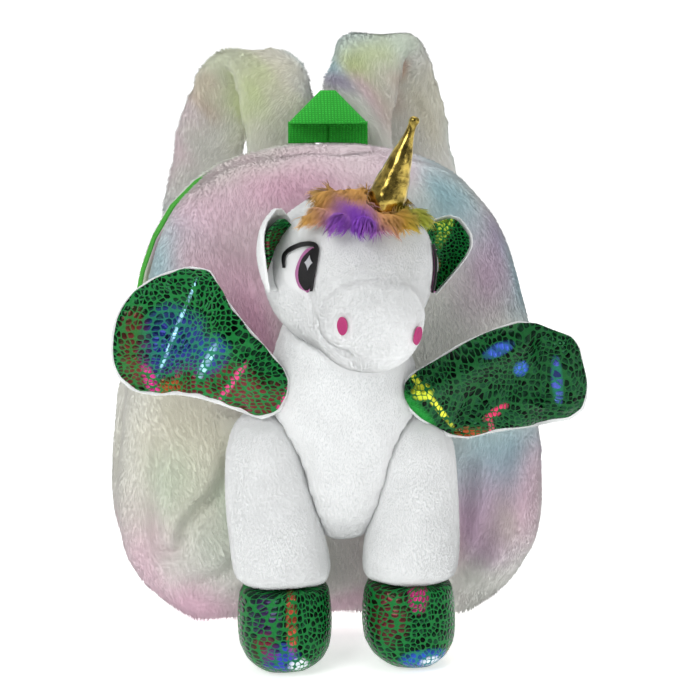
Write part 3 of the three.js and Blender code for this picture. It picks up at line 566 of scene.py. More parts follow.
def plush(name, ground, shadow=0.93, dyed=False, sheen=0.3, let_through=0.2):
    """Plush: its roots are painted darker than its tips as shade deep in the pile, tufts differ a little,
    and some light goes through.
    """
    material, tree, shader = finish_of(name, Roughness=0.95, Specular_IOR_Level=0.12)
    shader.inputs["Sheen Weight"].default_value = sheen
    shader.inputs["Sheen Roughness"].default_value = 0.6
    tip = node(tree, "Attribute", attribute_name="tip").outputs["Fac"]
    tuft = node(tree, "Attribute", attribute_name="tuft").outputs["Fac"]
    # The dye attribute holds the tie-dye colour, with the shade that some patches paint at folds and
    # creases.
    if dyed:
        ground = node(tree, "Attribute", attribute_name="dye").outputs["Color"]
    mottle = value_range(tree, noise(tree, object_place(tree), 90.0).outputs["Fac"], 0.3, 0.7, 0.96, 1.03)
    # Painted shade: the roots, and the bare skin under them, are darkened to shadow times their colour.
    depth = value_range(tree, tip, 0.0, 0.9, shadow, 1.0)
    spread = value_range(tree, tuft, 0.0, 1.0, 0.95, 1.03)
    level = product(tree, product(tree, depth, spread), mottle)
    paint = blend_of(tree, 1.0, ground, grey_of(tree, level), "MULTIPLY")
    feed(tree, shader, Base_Color=paint)
    through = node(tree, "BsdfTranslucent", {"Color": paint})
    mixed = node(tree, "MixShader", {0: let_through, 1: shader.outputs[0], 2: through.outputs[0]})
    tree.links.new(mixed.outputs[0], tree.nodes["Material Output"].inputs["Surface"])
    return material


# Tie-dye: soft patches of dye seen from the front, in mm, each with how far it reaches across and up.
# A few patches are painted shade: the rose strip in the crease beside the unicorn's right leg, and the rust
# patches under the straps' folds.
FRONT_DYE_AND_SHADE = table(
    "x z across up dye much",
    (-90, 118, 40, 50, "straw", 0.75),
    (-62, 275, 34, 22, "mint", 0.9),
    (-30, 260, 50, 24, "pink", 0.85),
    (-77, 246, 26, 22, "blush", 0.9),
    (-95, 222, 20, 26, "sky", 0.95),
    (-40, 188, 26, 40, "pink", 0.95),
    (-62, 214, 24, 20, "pink", 0.55),
    (30, 278, 30, 12, "blush", 0.7),
    (66, 262, 22, 22, "teal", 0.85),
    (96, 238, 18, 22, "lavender", 0.9),
    (107, 206, 16, 26, "teal", 0.85),
    (78, 212, 20, 26, "mauve", 0.6),
    (58, 240, 20, 18, "sky", 0.6),
    (-110, 46, 16, 34, "pink", 0.6),
    (-83, 18, 34, 18, "pink", 0.8),
    (-60, 84, 16, 30, "mint", 0.85),
    (-100, 90, 16, 20, "mint", 0.5),
    (104, 104, 22, 22, "teal", 0.8),
    (84, 110, 16, 24, "sky", 0.6),
    (94, 66, 25, 32, "mauve", 0.7),
    # Painted shade: this narrow rose strip darkens the crease beside the unicorn's right leg.
    (76, 60, 8, 44, "rose", 0.4),
    (108, 66, 10, 14, "straw", 0.4),
    (121, 84, 12, 30, "pink", 0.55),
    (90, 28, 30, 14, "cream", 0.9),
    (6, 40, 22, 44, "blush", 0.3),
    (6, 16, 26, 10, "pink", 0.6),
)
STRAP_DYE_AND_SHADE = table(
    "x z across up dye much",
    (-96, 318, 14, 20, "blush", 0.6),
    # Painted shade: this rust patch darkens the left strap under its fold.
    (-74, 312, 12, 14, "rust", 0.4),
    (-70, 338, 26, 20, "leaf", 0.45),
    (-104, 280, 18, 24, "pink", 0.6),
    (-30, 325, 24, 34, "straw", 0.7),
    (-46, 312, 16, 26, "leaf", 0.8),
    (44, 356, 44, 12, "mint", 0.6),
    (10, 342, 16, 20, "teal", 0.9),
    (35, 334, 10, 18, "leaf", 1.0),
    (12, 320, 16, 10, "lavender", 0.8),
    (34, 318, 9, 14, "blush", 0.7),
    # Painted shade: these rust patches darken the right strap under its fold.
    (58, 332, 9, 10, "rust", 0.7),
    (46, 306, 12, 16, "rust", 0.3),
    (98, 318, 16, 26, "straw", 0.7),
    (110, 280, 16, 30, "sky", 0.7),
    (72, 300, 16, 22, "straw", 0.7),
    (-100, 226, 30, 22, "sky", 0.7),
    (-104, 180, 30, 20, "pink", 0.7),
    (-96, 134, 30, 20, "mint", 0.8),
    (100, 232, 30, 20, "pink", 0.7),
    (104, 186, 30, 20, "teal", 0.7),
    (96, 138, 30, 20, "blush", 0.8),
)


def dye_and_shade_painter(colours, patches, seed, random_patches=0, box=None):
    """A function that gives the tie-dye colour of places, with the shade that some patches paint."""
    rows = [dict(patch) for patch in patches]
    rng = np.random.default_rng(seed)
    names = ["mint", "pink", "blush", "sky", "teal", "lavender", "mauve", "straw"]
    for _ in range(random_patches):
        (low_x, low_z), (high_x, high_z) = box
        rows.append(
            {
                "x": low_x + rng.random() * (high_x - low_x),
                "z": low_z + rng.random() * (high_z - low_z),
                "across": 16 + 22 * rng.random(),
                "up": 16 + 22 * rng.random(),
                "dye": names[rng.integers(len(names))],
                "much": 0.5 + 0.4 * rng.random(),
            }
        )

    def paint(places):
        pulled = places + wander(places, 0.022, seed) * 0.006 + wander(places, 0.008, seed + 1) * 0.0025
        made = np.broadcast_to(np.array(colours.cream), (len(places), 3)).copy()
        for row in rows:
            across = (pulled[:, 0] / MM - row["x"]) / row["across"]
            up = (pulled[:, 2] / MM - row["z"]) / row["up"]
            share = row["much"] * np.exp(-((across**2 + up**2) ** 1.2))
            made += (np.array(getattr(colours, row["dye"])) - made) * share[:, None]
        return made

    return paint


def laid_flat(tree, place, turn=0.0, post=None):
    """Places across and up a cloth: turned about the vertical, or rolled round an upright post."""
    split = node(tree, "SeparateXYZ", {"Vector": place})
    if post:
        right = sum_of(tree, (split.outputs["X"], 1.0), (1.0, -post["x"] * MM))
        front = sum_of(tree, (split.outputs["Y"], -1.0), (1.0, post["y"] * MM))
        angle = node(tree, "Math", {0: right, 1: front}, operation="ARCTAN2").outputs[0]
        across = sum_of(tree, (angle, post["radius"] * MM))
    else:
        across = sum_of(tree, (split.outputs["X"], math.cos(turn)), (split.outputs["Y"], math.sin(turn)))
    return node(tree, "CombineXYZ", {"X": across, "Y": split.outputs["Z"]}).outputs[0]


def nearness(tree, split, patch, wobble):
    """1 in the middle of a turned oval patch of cloth, as seen from the front, and 0 outside it."""
    turn = math.radians(patch.get("turn", 0))
    squares = []
    for way, reach in (
        ((math.cos(turn), math.sin(turn)), patch["across"]),
        ((-math.sin(turn), math.cos(turn)), patch["up"]),
    ):
        centre = patch["x"] * way[0] + patch["z"] * way[1]
        parts = (split.outputs["X"], way[0]), (split.outputs["Z"], way[1]), (1.0, -centre * MM)
        offset = sum_of(tree, (sum_of(tree, *parts), 1 / (reach * MM)))
        squares.append(product(tree, offset, offset))
    far = sum_of(tree, (squares[0], 1.0), (squares[1], 1.0), (wobble, 1.0))
    return value_range(tree, far, 0.95, 2.3, 1.0, 0.0)


def scale_cloth(name, colours, patches, cell, stretch=1.0, net_level=1.0, warp=0.024, **lay):
    """Holographic scale cloth: shiny dark foil cells in a net of matt green lines.

    patches are painted sheens, the foil's holographic reflections and glints painted into its colour:
    where each lies and how far it reaches in mm, its turn in degrees, its tone, how much it covers, the
    least share of a cell that it lights, the random channel that picks cells, and the tone of the net
    there.
    """
    material, tree, shader = finish_of(name, Metallic=0.9, Roughness=0.25, Specular_IOR_Level=0.25)
    place = object_place(tree)
    pull = noise(tree, place, 22.0, 1.0).outputs["Color"]
    shifted = node(tree, "VectorMath", {0: pull, 1: (0.5, 0.5, 0.5)}, operation="SUBTRACT").outputs[0]
    pushed = node(tree, "VectorMath", {0: shifted, "Scale": warp}, operation="SCALE").outputs[0]
    flat = laid_flat(tree, place, **lay)
    bent = node(tree, "VectorMath", {0: flat, 1: pushed}, operation="ADD").outputs[0]
    scaled = node(tree, "Mapping", {"Vector": bent, "Scale": (1.0, stretch, 1.0)}).outputs[0]
    voronoi = {"Vector": scaled, "Scale": 1 / (cell * MM), "Randomness": 0.8}
    cells = node(tree, "TexVoronoi", voronoi, feature="F1", voronoi_dimensions="2D")
    edges = node(tree, "TexVoronoi", voronoi, feature="DISTANCE_TO_EDGE", voronoi_dimensions="2D")
    spread = noise(tree, place, 35.0, 2.0).outputs["Fac"]
    width = value_range(tree, spread, 0.35, 0.65, 0.04, 0.1)
    high = sum_of(tree, (width, 1.0), (1.0, 0.04))
    shape = {"Value": edges.outputs["Distance"], "From Min": width, "From Max": high}
    foil = node(tree, "MapRange", shape, clamp=True).outputs["Result"]
    rounded = value_range(tree, cells.outputs["Distance"], 0.47, 0.53, 1.0, 0.0)
    foil = product(tree, foil, rounded)
    random = node(tree, "SeparateColor", {"Color": cells.outputs["Color"]})
    faint = value_range(tree, random.outputs["Red"], 0.0, 1.0, 0.0, 0.1)
    tint = blend_of(tree, faint, tuple(colours.foil), (0.1, 0.6, 0.25))
    # net_level scales the net's tone; the right wing's low level is painted shade.
    net = tuple(c * net_level for c in colours.net)
    split = node(tree, "SeparateXYZ", {"Vector": place})
    wobble = noise(tree, place, 60.0, 2.0).outputs["Fac"]
    lit = 0.0
    # Painted reflections: each sheen patch paints its tone into the cells it lights, and the net's tone
    # there.
    for patch in patches:
        near = nearness(tree, split, patch, wobble)
        chance = random.outputs[patch.get("channel", "Green")]
        picked = value_range(tree, chance, 0.0, 0.6, patch.get("least", 0.2), 1.0)
        share = sum_of(tree, (product(tree, near, picked), patch["much"]))
        tint = blend_of(tree, share, tint, tone(patch["tone"]))
        lit = node(tree, "Math", {0: share, 1: lit}, operation="MAXIMUM").outputs[0]
        if "net" in patch:
            net = blend_of(tree, sum_of(tree, (near, 0.8)), net, tone(patch["net"]))
    feed(tree, shader, Base_Color=blend_of(tree, foil, net, tint))
    feed(tree, shader, Roughness=value_range(tree, foil, 0.0, 1.0, 0.5, 0.22))
    metal = sum_of(tree, (value_range(tree, lit, 0.0, 1.0, 0.85, 0.3), 1.0), (1.0, -0.1))
    feed(tree, shader, Metallic=sum_of(tree, (product(tree, foil, metal), 1.0), (1.0, 0.1)))
    lift = value_range(tree, edges.outputs["Distance"], 0.05, 0.4)
    feed(tree, shader, Normal=bump_of(tree, lift, 0.0003, 0.7))
    return material


# Pieces


def settle(obj, material, stands_for=()):
    """Gives a finished piece its material, its body and what it stands for."""
    obj.data.materials.clear()
    obj.data.materials.append(material)
    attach(obj, "root")
    if stands_for:
        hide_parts(*stands_for)
    return obj


# Cells of the remeshed skins, in metres, apart from the user's skin cell
CELLS = {"bag": 0.005, "head": 0.0035, "hoof": 0.0035, "mane": 0.0025, "horn": 0.0009}


def zip_side_hold(points):
    """0 at the zip line, and 1 from the rolls outwards."""
    return soft_step((np.abs(points[:, 1] - ZIP_Y) - 0.006) / 0.02)


UNICORN = ["body", "head", "leg_left", "leg_right", "hoof_left", "hoof_right"]

# Folds of the front panel, in mm from the front: x, z. A depth below 0 is a ridge
FRONT_FOLDS = table(
    "path width depth",
    ([(-104, 118), (-108, 93), (-107, 62), (-103, 54)], 5, 4.5),
    ([(-61, 109), (-64, 96), (-71, 86), (-80, 79), (-88, 69), (-92, 55), (-97, 53)], 4, 5.5),
    ([(-72, 112), (-80, 92), (-92, 74)], 8, -3),
    ([(-56, 49), (-70, 38), (-84, 33)], 5, 4),
    ([(-58, 36), (-80, 22)], 9, -3),
    ([(76, 100), (74, 35)], 6, 4.5),
    ([(119, 107), (105, 61), (86, 31)], 7, -3.5),
    ([(104, 112), (92, 70), (82, 44)], 5, 3),
    ([(-94, 238), (-60, 226), (-40, 214)], 8, 2.5),
    ([(64, 250), (92, 226)], 8, 2.5),
)

# Marks at x, y, z. The zip's dent draws the front roll in at the upper left, which bares the zip
BOTTOM_CORNER = table("path width depth", ([(-124, 14, 48), (-100, 14, 6)], 24, 6))
SIDE_ROLL = table("path width depth", ([(-124, 2, 140), (-127, 2, 60)], 13, -3))
FRONT_RIDGE = table(
    "path width depth",
    ([(-70, 7, 279), (-30, 7, 290), (40, 7, 290), (76, 7, 279)], 14, -2.5),
)
BACK_RIDGE = table("path width depth", ([(-30, 28, 289), (42, 28, 288)], 9, -1.5))
ZIP_DENT = table(
    "path width depth",
    ([(-124, 4, 170), (-119, 4, 205), (-110, 4, 235), (-92, 4, 262)], 15, 6),
)


# The zip is bare to the left of this x, and the pile is shorter over the crest above this z
ZIP_BARE_X = -0.078
CREST_Z = 0.262


def bag_skin(name, seed, front, swell):
    """One half of the bag's cloth: filled, folded and a little lumpy."""
    obj = copy_node(name, name + "_plush")
    edit(obj, bpy.ops.mesh.convex_hull)
    remesh(obj, CELLS["bag"])
    puff(obj, swell, zip_side_hold)
    even_out(obj, 4)
    finish_with(obj, "SUBSURF", levels=1, render_levels=1)
    for marks in (FRONT_FOLDS, ZIP_DENT, SIDE_ROLL, FRONT_RIDGE) if front else (BACK_RIDGE,):
        press(obj, marks)
    press(obj, BOTTOM_CORNER)
    points = points_of(obj)
    lumps = ripple(points, 0.011, seed) * 0.0008 + ripple(points, 0.04, seed + 1) * 0.0018
    shift_out(obj, -0.0015 + lumps * zip_side_hold(points))
    return obj


def bag_pile_share(side, covers):
    """The share of its length that the pile has on a half of the bag: less near the zip and over the
    crest, and none under what covers it. side is -1 for the front half and 1 for the back half."""

    def keep(places, normals):
        from_zip = (places[:, 1] - ZIP_Y) * side
        bare = (side < 0) * soft_step((ZIP_BARE_X - places[:, 0]) / 0.012)
        share = soft_step((from_zip + 0.002 - 0.007 * bare) / 0.01)
        share *= 1 - 0.45 * soft_step((places[:, 2] - CREST_Z) / 0.02)
        share *= normals[:, 1] * side > -0.75
        share *= normals[:, 2] > -0.85
        share *= ~sunk_in(covers, places, 0.0015)
        return share

    return keep


class BACKPACK_OT_bag(bpy.types.Operator):
    """Build the two stuffed halves of the bag in tie-dye plush"""

    bl_idname = "backpack.bag"
    bl_label = "Bag"

    def execute(self, context):
        sizes, colours = context.scene.backpack_sizes, context.scene.backpack_colours
        material = plush("tie_dye_plush", colours.cream, dyed=True, sheen=0.45)
        back_dye = dye_and_shade_painter(colours, [], 12, 44, ((-130, 0), (130, 288)))
        halves = table(
            "name seed side tufts paint covers",
            ("bag_front", 11, -1, 1.0, dye_and_shade_painter(colours, FRONT_DYE_AND_SHADE, 11), node_trees(UNICORN)),
            ("bag_back", 12, 1, 0.55, back_dye, []),
        )
        for half in halves:
            obj = bag_skin(half["name"], half["seed"], half["side"] < 0, sizes.bag_swell)
            rule = {
                "amount": int(sizes.bag_tufts * half["tufts"]),
                "long": sizes.bag_pile,
                "thick": 0.00036,
                "lean": 2.6,
                "comb": (0, 0.5 * half["side"], -1),
                "vary": 0.12,
                "swirl": 0.6,
                "jitter": 0.17,
                "clump": 0.12,
                "clump_size": 30,
            }
            keep = bag_pile_share(half["side"], half["covers"])
            grow_pile(obj, rule, keep, half["paint"], half["seed"])
            settle(obj, material, [half["name"]])
        return {"FINISHED"}


# How far the top of a strap's skin is lowered to leave room for its pile
STRAP_TOP_DROP = 0.0022


class BACKPACK_OT_straps(bpy.types.Operator):
    """Build the two padded shoulder straps in tie-dye plush"""

    bl_idname = "backpack.straps"
    bl_label = "Straps"

    def execute(self, context):
        sizes, colours = context.scene.backpack_sizes, context.scene.backpack_colours
        material = plush("strap_plush", colours.cream, dyed=True, sheen=0.45)
        for name, seed in (("strap_left", 21), ("strap_right", 22)):
            obj = copy_node(name, name + "_plush")
            points = points_of(obj)
            box = points.min(0), points.max(0) - np.array([0, 0, STRAP_TOP_DROP])
            remesh(obj, sizes.skin_cell)
            puff(obj, 0.0014)
            even_out(obj, 4)
            refit(obj, box)
            finish_with(obj, "SUBSURF", levels=1, render_levels=1)
            points = points_of(obj)
            shift_out(obj, 0.0014 + ripple(points, 0.014, seed) * 0.0009)
            rule = {
                "amount": sizes.strap_tufts,
                "long": sizes.strap_pile,
                "thick": 0.0004,
                "lean": 2.5,
                "vary": 0.12,
                "swirl": 0.8,
                "jitter": 0.2,
                "clump": 0.12,
                "clump_size": 30,
            }
            grow_pile(obj, rule, None, dye_and_shade_painter(colours, STRAP_DYE_AND_SHADE, seed), seed)
            settle(obj, material, [name])
        return {"FINISHED"}


class BACKPACK_OT_webbing(bpy.types.Operator):
    """Finish the grab handle and the straps' webbing tails"""

    bl_idname = "backpack.webbing"
    bl_label = "Webbing"

    def execute(self, context):
        colours = context.scene.backpack_colours
        material, tree, shader = finish_of("green_webbing", Roughness=0.75, Specular_IOR_Level=0.3)
        place = object_place(tree)
        ribs = node(
            tree,
            "TexWave",
            {"Vector": place, "Scale": 260.0, "Distortion": 1.2, "Detail": 1.0, "Detail Scale": 2.0},
            wave_type="BANDS",
            bands_direction="Z",
        ).outputs["Fac"]
        weft = node(
            tree, "TexWave", {"Vector": place, "Scale": 160.0, "Distortion": 0.5}, bands_direction="X"
        ).outputs["Fac"]
        weave = product(tree, ribs, weft)
        dark = tuple(c * 0.55 for c in colours.webbing)
        lit = value_range(tree, weave, 0.1, 0.7)
        feed(tree, shader, Base_Color=blend_of(tree, lit, dark, tuple(colours.webbing)))
        feed(tree, shader, Normal=bump_of(tree, weave, 0.0004))
        for name in ("grab_handle", "strap_tail_left", "strap_tail_right"):
            obj = copy_node(name, name + "_webbing")
            finish_with(obj, "BEVEL", width=0.0004, segments=2, limit_method="ANGLE")
            settle(obj, material, [name])
        return {"FINISHED"}


class BACKPACK_OT_zip(bpy.types.Operator):
    """Finish the zip's tape, coil and slider"""

    bl_idname = "backpack.zip"
    bl_label = "Zip"

    def execute(self, context):
        material, tree, shader = finish_of("zip_tape", Roughness=0.7)
        place = object_place(tree)
        speck = noise(tree, place, 900.0).outputs["Fac"]
        feed(tree, shader, Base_Color=blend_of(tree, speck, tone("2f8f28"), tone("5cc046")))
        feed(tree, shader, Normal=bump_of(tree, speck, 0.0003))
        settle(copy_node("zip", "zip_tape"), material, ["zip"])
        metal, tree, shader = finish_of("slider_metal", Metallic=1.0, Roughness=0.3)
        scratch = noise(tree, object_place(tree), 300.0).outputs["Fac"]
        feed(tree, shader, Base_Color=blend_of(tree, scratch, tone("9a9ea2"), tone("c8ccd0")))
        slider = copy_node("zip_slider", "slider")
        finish_with(slider, "BEVEL", width=0.0006, segments=3)
        settle(slider, metal, ["zip_slider"])
        return {"FINISHED"}


def white_plush(colours):
    """The unicorn's plush, made once and shared by its pieces."""
    name = "unicorn_plush"
    return bpy.data.materials.get(name) or plush(name, tuple(colours.white), sheen=0.12, let_through=0.08)


def stuffed_skin(name, seed, cell, marks=()):
    """The filled skin of one of the unicorn's stuffed pieces, with marks pressed in."""
    obj = copy_node(name, name + "_plush")
    remesh(obj, cell)
    puff(obj, 0.003)
    even_out(obj, 5)
    finish_with(obj, "SUBSURF", levels=1, render_levels=1)
    press(obj, marks)
    shift_out(obj, 0.0004 + ripple(points_of(obj), 0.016, seed) * 0.0005)
    return obj


def short_plush(obj, name, seed, tufts, fill, keep=None, **changes):
    """Grows the unicorn's short white plush on a skin, which then stands for this CAD node."""
    scene = bpy.context.scene
    rule = {
        "amount": tufts,
        "long": scene.backpack_sizes.white_pile,
        "thick": 0.00024,
        "lean": 2.6,
        "round": 7,
        "swirl": 0.6,
        "swirl_size": 0.02,
        "jitter": 0.2,
        "clump": 0.08,
        "clump_size": 12,
        **changes,
    }
    grow_pile(obj, rule, keep, None, seed)
    settle(obj, white_plush(scene.backpack_colours), [name])


def thin_plush(name, seed, tufts, fill):
    """A thin back of an ear or a wing in the shortest white plush."""
    obj = copy_node(name, name + "_plush")
    soften_sheet(obj, 2, 3)
    short_plush(obj, name, seed, tufts, fill, long=0.0009, thick=0.0002)


class BACKPACK_OT_body(bpy.types.Operator):
    """Build the unicorn's stuffed body and legs"""

    bl_idname = "backpack.body"
    bl_label = "Body and legs"

    def execute(self, context):
        sizes = context.scene.backpack_sizes
        for name, seed, share in (("body", 31, 0.8), ("leg_left", 32, 0.6), ("leg_right", 33, 0.6)):
            obj = stuffed_skin(name, seed, sizes.skin_cell)
            short_plush(obj, name, seed, int(sizes.white_tufts * share), 0.8)
        return {"FINISHED"}


def white_plush(colours):
    """The unicorn's plush, made once and shared by its pieces."""
    name = "unicorn_plush"
    return bpy.data.materials.get(name) or plush(name, tuple(colours.white), sheen=0.12, let_through=0.08)


# The face. Places are in mm in a frame on the head at each eye: u to the viewer's right, v up.
EYE_FRAMES = {
    "left": {"centre": (-26.5, -125.4, 227), "facing": (-0.62, -0.76, 0.19)},
    "right": {"centre": (46, -93, 222), "facing": (0.99, -0.1, 0.06)},
}
LID = [
    (-11.7, -0.5), (-11.9, 7.3), (-3.1, 13), (4.8, 14.6),
    (8.4, 12.8), (9.4, 5.4), (9.7, -8.4), (9.4, -13.2),
]
IRIS_RIM = [(6.4, 12.8), (2.6, 11.3), (-0.6, 6.8), (-3.1, -0.4), (-3.1, -5.6), (-0.2, -11.2), (5.9, -13.6)]
PUPIL_LEFT = [(6.4, 12.2), (4.4, 10.2), (0.8, 5.6), (-0.9, -1.2), (-0.2, -7.4), (3.0, -11.6), (5.9, -12.9)]
PUPIL_RIGHT = [(6.4, 12.2), (7.9, 10.8), (8.9, 5.0), (9.2, -1.0), (9.0, -7.0), (8.2, -11.2), (5.9, -12.9)]
STAR = {"centre": (5.4, 3.4), "reach_u": 2.7, "reach_v": 4.4}
EYE_SCALE = 0.88
NOSTRILS = {
    "left": {"centre": (-6.9, -150.3, 199.7), "facing": (-0.2, -0.96, 0.1)},
    "right": {"centre": (32.1, -141.6, 193.1), "facing": (0.45, -0.88, 0.1)},
}


def smooth_path(points, steps):
    """A smooth path of evenly spaced points through a few."""
    rows = [np.array(p, float) for p in points]
    rows = [2 * rows[0] - rows[1], *rows, 2 * rows[-1] - rows[-2]]
    fine = []
    for i in range(1, len(rows) - 2):
        a, b, c, d = rows[i - 1 : i + 3]
        for t in np.linspace(0, 1, 16, endpoint=False):
            second, third = 2 * a - 5 * b + 4 * c - d, 3 * b - a - 3 * c + d
            fine.append(0.5 * (2 * b + (c - a) * t + second * t**2 + third * t**3))
    fine = np.array([*fine, rows[-2]])
    along = np.concatenate([[0], np.cumsum(np.linalg.norm(np.diff(fine, axis=0), axis=1))])
    aim = np.linspace(0, along[-1], steps)
    return np.stack([np.interp(aim, along, fine[:, k]) for k in range(fine.shape[1])], 1)


def drape(name, grid, place, tree, lift, thick, mirror=False):
    """A thin patch of thread on the head. grid is rows of (u, v) in mm, and it is laid on the skin."""
    centre, facing = Vector(place["centre"]) * MM, Vector(place["facing"]).normalized()
    right = Vector((0, 0, 1)).cross(facing).normalized()
    up = facing.cross(right)
    rows, columns = len(grid), len(grid[0])
    top, uv = [], []
    for row in grid:
        for u, v in row:
            start = centre + (right * (-u if mirror else u) + up * v) * MM + facing * 0.03
            hit, normal, _, _ = tree.ray_cast(start, -facing)
            if hit is None:
                hit, normal, _, _ = tree.find_nearest(start - facing * 0.03)
            top.append(hit + normal.lerp(facing, 0.3).normalized() * lift)
            uv.append((u, v))
    firsts = [i * columns + j for i in range(rows - 1) for j in range(columns - 1)]
    faces = [(a, a + 1, a + columns + 1, a + columns) for a in firsts]
    mesh = bpy.data.meshes.new(name)
    mesh.from_pydata(top, [], faces)
    obj = bpy.data.objects.new(name, mesh)
    bpy.context.scene.collection.objects.link(obj)
    layer = mesh.uv_layers.new(name="patch")
    for loop in mesh.loops:
        layer.data[loop.index].uv = uv[loop.vertex_index]
    edit(obj, lambda: bpy.ops.mesh.remove_doubles(threshold=1e-6))
    mesh.update()
    outward = sum(p.normal.dot(facing) * p.area for p in mesh.polygons)
    if outward < 0:
        edit(obj, bpy.ops.mesh.flip_normals)
    finish_with(obj, "SOLIDIFY", thickness=thick, offset=-1)
    only(obj)
    bpy.ops.object.shade_smooth_by_angle(angle=math.radians(50))
    return obj


def ribbon(path, half, steps=60, across=5):
    """A band of grid points along a path. half gives its half width along it."""
    line = smooth_path(path, steps)
    way = unit(np.gradient(line, axis=0))
    side = np.stack([-way[:, 1], way[:, 0]], 1)
    shares = np.linspace(0, 1, steps)
    halves = np.array([half(s) for s in shares])
    reaches = np.linspace(-1, 1, across)
    return [[tuple(line[i] + side[i] * halves[i] * t) for t in reaches] for i in range(steps)]


def between(first, second, steps=44, across=16):
    """Grid points between two edges."""
    a, b = smooth_path(first, steps), smooth_path(second, steps)
    return [[tuple(a[i] + (b[i] - a[i]) * t) for t in np.linspace(0, 1, across)] for i in range(steps)]


def star(centre, reach_u, reach_v, turns=48, rings=5):
    """Grid points of a four-pointed star."""
    rows = []
    for ring in range(rings + 1):
        share = ring / rings
        row = []
        for k in range(turns + 1):
            angle = k / turns * math.tau
            c, s = (math.copysign(abs(f(angle)) ** 2.6, f(angle)) for f in (math.cos, math.sin))
            row.append((centre[0] + share * reach_u * c, centre[1] + share * reach_v * s))
        rows.append(row)
    return rows


def oval(half_u, half_v, turns=36, rings=5):
    """Grid points of an oval."""
    angles = [k / turns * math.tau for k in range(turns + 1)]
    shares = [ring / rings for ring in range(rings + 1)]
    return [[(r * half_u * math.cos(a), r * half_v * math.sin(a)) for a in angles] for r in shares]


def lid_half(share):
    """Half the width of the lid's line, which swells in its middle, in mm."""
    return 0.55 + 0.75 * math.sin(math.pi * min(1, share * 1.15)) ** 0.6


def stitched(name, rgb, roughness=0.45):
    """Satin stitch: fine parallel threads with a low sheen."""
    material, tree, shader = finish_of(name, Roughness=roughness, Specular_IOR_Level=0.4)
    uv = node(tree, "UVMap", uv_map="patch").outputs[0]
    threads = node(
        tree, "TexWave", {"Vector": uv, "Scale": 1.1, "Distortion": 1.5, "Detail": 1.0}, bands_direction="Y"
    ).outputs["Fac"]
    dark = tuple(c * 0.6 for c in rgb)
    feed(tree, shader, Base_Color=blend_of(tree, threads, dark, rgb))
    feed(tree, shader, Normal=bump_of(tree, threads, 0.0002))
    return material


# Marks on the head in mm: the mouth and the wrinkles of the nose
HEAD_MARKS = table(
    "path width depth",
    ([(-23, -129, 213), (-21, -131, 204), (-21, -129, 197)], 2.2, 1.3),
    ([(-17, -137, 211), (-12, -139, 217), (-2, -141, 221), (9, -141, 222)], 2.6, 0.9),
    ([(-19, -134, 200), (-18, -135, 192), (-14, -141, 188), (-5, -146, 185)], 2.4, 2.2),
    ([(-5, -146, 185), (-2, -145, 182), (-1, -143, 179), (1, -137, 174)], 1.7, 2.2),
    ([(-14, -143, 197), (-9, -147, 191), (-2, -149, 188)], 5, -1.4),
    ([(6, -148, 183), (16, -145, 181), (24, -141, 182)], 4, -1.2),
    ([(-2, -141, 217), (10, -142, 216), (22, -140, 214)], 5, -1.2),
    ([(28, -137, 216), (33, -136, 211), (35, -134, 202)], 3, -1.2),
    ([(-14, -138, 221), (-11, -138, 216)], 1.6, 0.8),
    ([(-7, -141, 223), (-3, -142, 218)], 1.6, 0.8),
)


class BACKPACK_OT_head(bpy.types.Operator):
    """Build the unicorn's head with its eyes and nostrils"""

    bl_idname = "backpack.head"
    bl_label = "Head and face"

    def execute(self, context):
        sizes, colours = context.scene.backpack_sizes, context.scene.backpack_colours
        marked = [(place["centre"], 11.5) for place in EYE_FRAMES.values()]
        marked += [(place["centre"], 4.0) for place in NOSTRILS.values()]

        def keep(places, normals):
            share = np.ones(len(places))
            for centre, reach in marked:
                away = np.linalg.norm(places - np.array(centre) * MM, axis=1)
                share = np.minimum(share, 0.35 + 0.65 * soft_step((away - reach * MM) / 0.003))
            return share

        head = stuffed_skin("head", 41, CELLS["head"], HEAD_MARKS)
        tree = tree_of(head)
        short_plush(head, "head", 41, sizes.white_tufts, 0.9, keep)
        thread = stitched("eye_thread", tuple(colours.thread), 0.35)
        iris = stitched("eye_iris", tuple(colours.iris))
        shine = stitched("eye_star", tone("e9ebf0"), 0.3)
        pink = stitched("pink_thread", tone("e2408f"))
        for side, place in EYE_FRAMES.items():
            mirror = side == "right"
            parts = [
                (ribbon(LID, lid_half), thread, 0.0024),
                (between(IRIS_RIM, PUPIL_RIGHT), iris, 0.0018),
                (between(PUPIL_LEFT, PUPIL_RIGHT), thread, 0.0021),
                (star(**STAR), shine, 0.0025),
            ]
            made = []
            for number, (grid, finish, lift) in enumerate(parts):
                grid = [[(u * EYE_SCALE, v * EYE_SCALE) for u, v in row] for row in grid]
                patch = drape(f"eye_{side}_{number}", grid, place, tree, lift, 0.0012, mirror)
                patch.data.materials.append(finish)
                made.append(patch)
            deselect()
            for patch in made:
                patch.select_set(True)
            bpy.context.view_layer.objects.active = made[0]
            bpy.ops.object.join()
            eye = made[0]
            eye.name = f"eye_{side}_stitching"
            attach(eye, "root")
            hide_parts(f"eye_{side}")
        for side, place in NOSTRILS.items():
            patch = drape(f"nostril_{side}_stitching", oval(2.6, 4.6), place, tree, 0.0022, 0.0012)
            settle(patch, pink, [f"nostril_{side}"])
        return {"FINISHED"}


# Painted sheens of the ears' scale cloth: holographic reflections painted into the foil's colour.
EAR_SHEEN = {
    "left": table(
        "x z across up turn tone much least channel net",
        (-38, 240, 9, 6, 0, "7a2030", 0.6),
        (-42, 222, 5, 8, 0, "7a2030", 0.6),
    ),
    "right": table(
        "x z across up turn tone much least channel net",
        (58, 246, 4, 12, -10, "b8d840", 0.8),
        (50, 222, 5, 5, 0, "d8b03c", 0.7),
    ),
}
EAR_TURN = {"left": math.radians(56), "right": math.radians(-20)}


